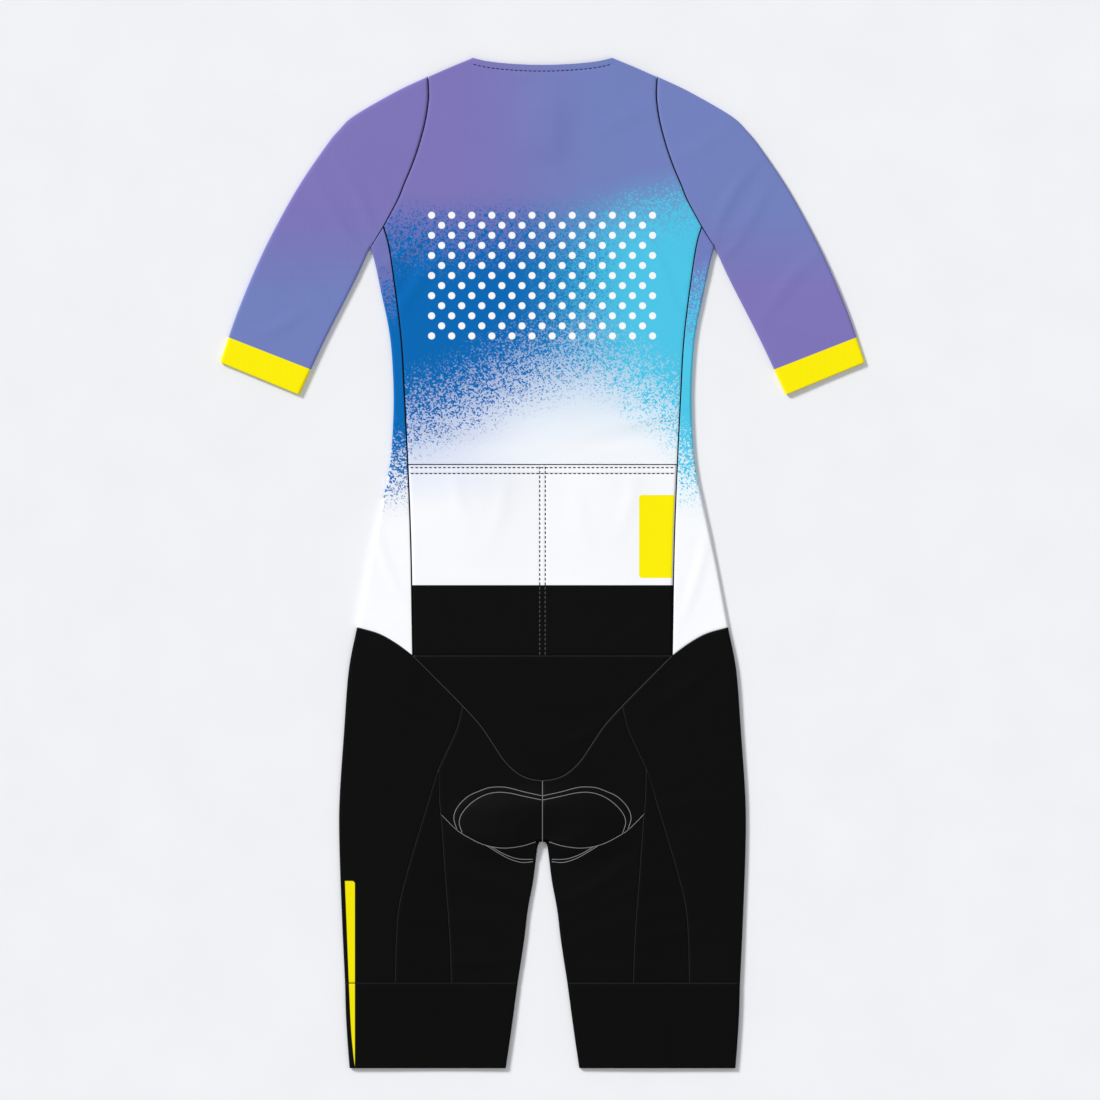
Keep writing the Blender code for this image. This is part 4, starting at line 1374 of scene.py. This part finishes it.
def build_jersey_threads(side_panels, sleeves):
    dark = thread("seam_thread", srgb(14, 14, 17))
    stitch = thread("stitch_thread", srgb(8, 8, 11), on_black=srgb(78, 78, 82))
    armholes = [shell_row(sleeve, 0) for sleeve in sleeves.values()]
    thread_item("armhole_seams", armholes, dark, add_seam, width=0.55)
    sides = [shell_column(panel, column) for panel in side_panels.values() for column in (0, -1)]
    thread_item("side_seams", sides, dark, add_seam, width=1.7)

    hem = [(BACK_EDGE(abs(x)) + NECK_STITCHES, x) for x in spread(60, -NECK_HALF, NECK_HALF)]
    thread_item("neck_stitches", [surface_line(hem, back_height)], stitch, add_dashes, width=0.9, height=0.3)
    dashes = []
    for down in POCKET_STITCHES:
        half = pocket_half(down) - 0.3
        dashes.append(surface_line([(down, x) for x in spread(100, -half, half)], pocket_height))
    middle = [(down, POCKET_MIDDLE) for down in spread(90, POCKET_TOP + 1.5, WAIST_BACK[0] - 2.0)]
    dashes += [surface_line(middle, pocket_height, side) for _, side in SIDES]
    thread_item("jersey_stitches", dashes, stitch, add_dashes)

    half = pocket_half(POCKET_TOP) + 0.9
    mouth = surface_line([(POCKET_TOP + 0.4, x) for x in spread(100, -half, half)], pocket_height)
    thread_item("pocket_edge", [mouth], dark, add_ridge, width=1.05, height=0.3)


def build_shorts_threads(shorts_sides, inner_legs, leg_bands):
    pale, mid, faint = (
        thread(name, srgb(*shade))
        for name, shade in (
            ("pale_thread", (134, 134, 137)), ("mid_thread", (66, 66, 69)), ("faint_thread", (42, 42, 44)),
        )
    )
    down, half = WAIST_BACK
    waist = [surface_line([(down, x) for x in spread(110, 1.0 - half, half - 1.0)], seam_height)]
    waist += [table_line(YOKE, side=side) for _, side in SIDES]
    waist += [shell_row(panel, 0)[:40] for panel in shorts_sides.values()]
    thread_item("waist_seams", waist, mid, add_ridge, width=0.75, height=0.1)

    seat = [table_line([(YOKE_POINT, 0), (CROTCH, 0)])]
    legs = [shell_row(band, 0) for band in leg_bands.values()]
    legs += [shell_column(panel, -1) for made in (shorts_sides, inner_legs) for panel in made.values()]
    for _, side in SIDES:
        seat.append(table_line(CROTCH_SEAM[:-1] + [(853.4, 7.3)], side=side))
        seat += [table_line(rows, height=top_height, side=side) for rows in PAD_LINES]
        legs += [table_line(SEAT_SIDE, LEG_OUTER_SEAM, side=side), table_line(LEG_INNER_SEAM, side=side)]
    thread_item("seat_seams", seat, pale, add_ridge, width=0.78, height=0.35)
    thread_item("leg_seams", legs, faint, add_ridge, width=0.7, height=0.1)


# The studio.


def sun_light(name, bearing, elevation, softness, strength):
    """Even light from a bearing and an elevation in degrees; softness is the angle that its source fills."""
    lamp = bpy.data.lights.new(name, "SUN")
    lamp.angle = math.radians(softness)
    lamp.energy = strength
    link(name, lamp).rotation_euler = (0.0, math.radians(90.0 - elevation), math.radians(bearing))


def build_studio():
    """A pale floor, soft light from the upper left and a long lens straight above."""
    bm = bmesh.new()
    corners = [(x * FLOOR_HALF, y * FLOOR_HALF, FLOOR_TOP) for x, y in ((-1, -1), (1, -1), (1, 1), (-1, 1))]
    bm.faces.new(vertices(bm, [corners])[0])
    paint = Paint("floor", roughness=0.9, specular=0.1)
    paper = paint.colour(srgb(238, 239, 241), paint.noise(0.02, 3.0), depth=0.02)
    mesh_object("floor", bm, paper)

    world = bpy.data.worlds.new("studio")
    world.use_nodes = True
    sky = world.node_tree.nodes["Background"].inputs
    sky["Color"].default_value = (0.97, 0.98, 1.0, 1.0)
    sky["Strength"].default_value = 0.46
    bpy.context.scene.world = world
    sun_light("key", 140.0, 32.0, 14.0, 3.1)
    sun_light("fill", -40.0, 50.0, 30.0, 0.26)

    lens = bpy.data.cameras.new("camera")
    lens.sensor_width = SENSOR_WIDTH
    lens.lens = SENSOR_WIDTH * CAMERA_PLACE[2] / VIEW_WIDTH
    lens.clip_end = 50.0
    camera = link("camera", lens)
    camera.location = metres(CAMERA_PLACE)
    bpy.context.scene.camera = camera
    bpy.context.scene.view_settings.view_transform = "Standard"


def main():
    build_back_body()
    build_jersey_fronts()
    side_panels = build_side_panels()
    sleeves = build_sleeves()
    build_pocket_panel()
    knit = black_cloth("shorts_knit", 0.8, 0.02)
    build_back_yoke(knit)
    build_seat(knit)
    shorts_sides = build_shorts_sides(knit)
    build_back_legs(black_cloth("leg_mesh", 1.8, 0.01, roughness=0.75, strip=False, holes=True))
    inner_legs = build_inner_legs(knit)
    leg_bands = build_leg_bands(black_cloth("band_knit", 1.6, 0.015, roughness=0.7))
    build_shorts_fronts(knit)
    build_seat_pad()
    build_tape()
    build_slider()
    build_pull()
    build_jersey_threads(side_panels, sleeves)
    build_shorts_threads(shorts_sides, inner_legs, leg_bands)
    build_studio()


main()
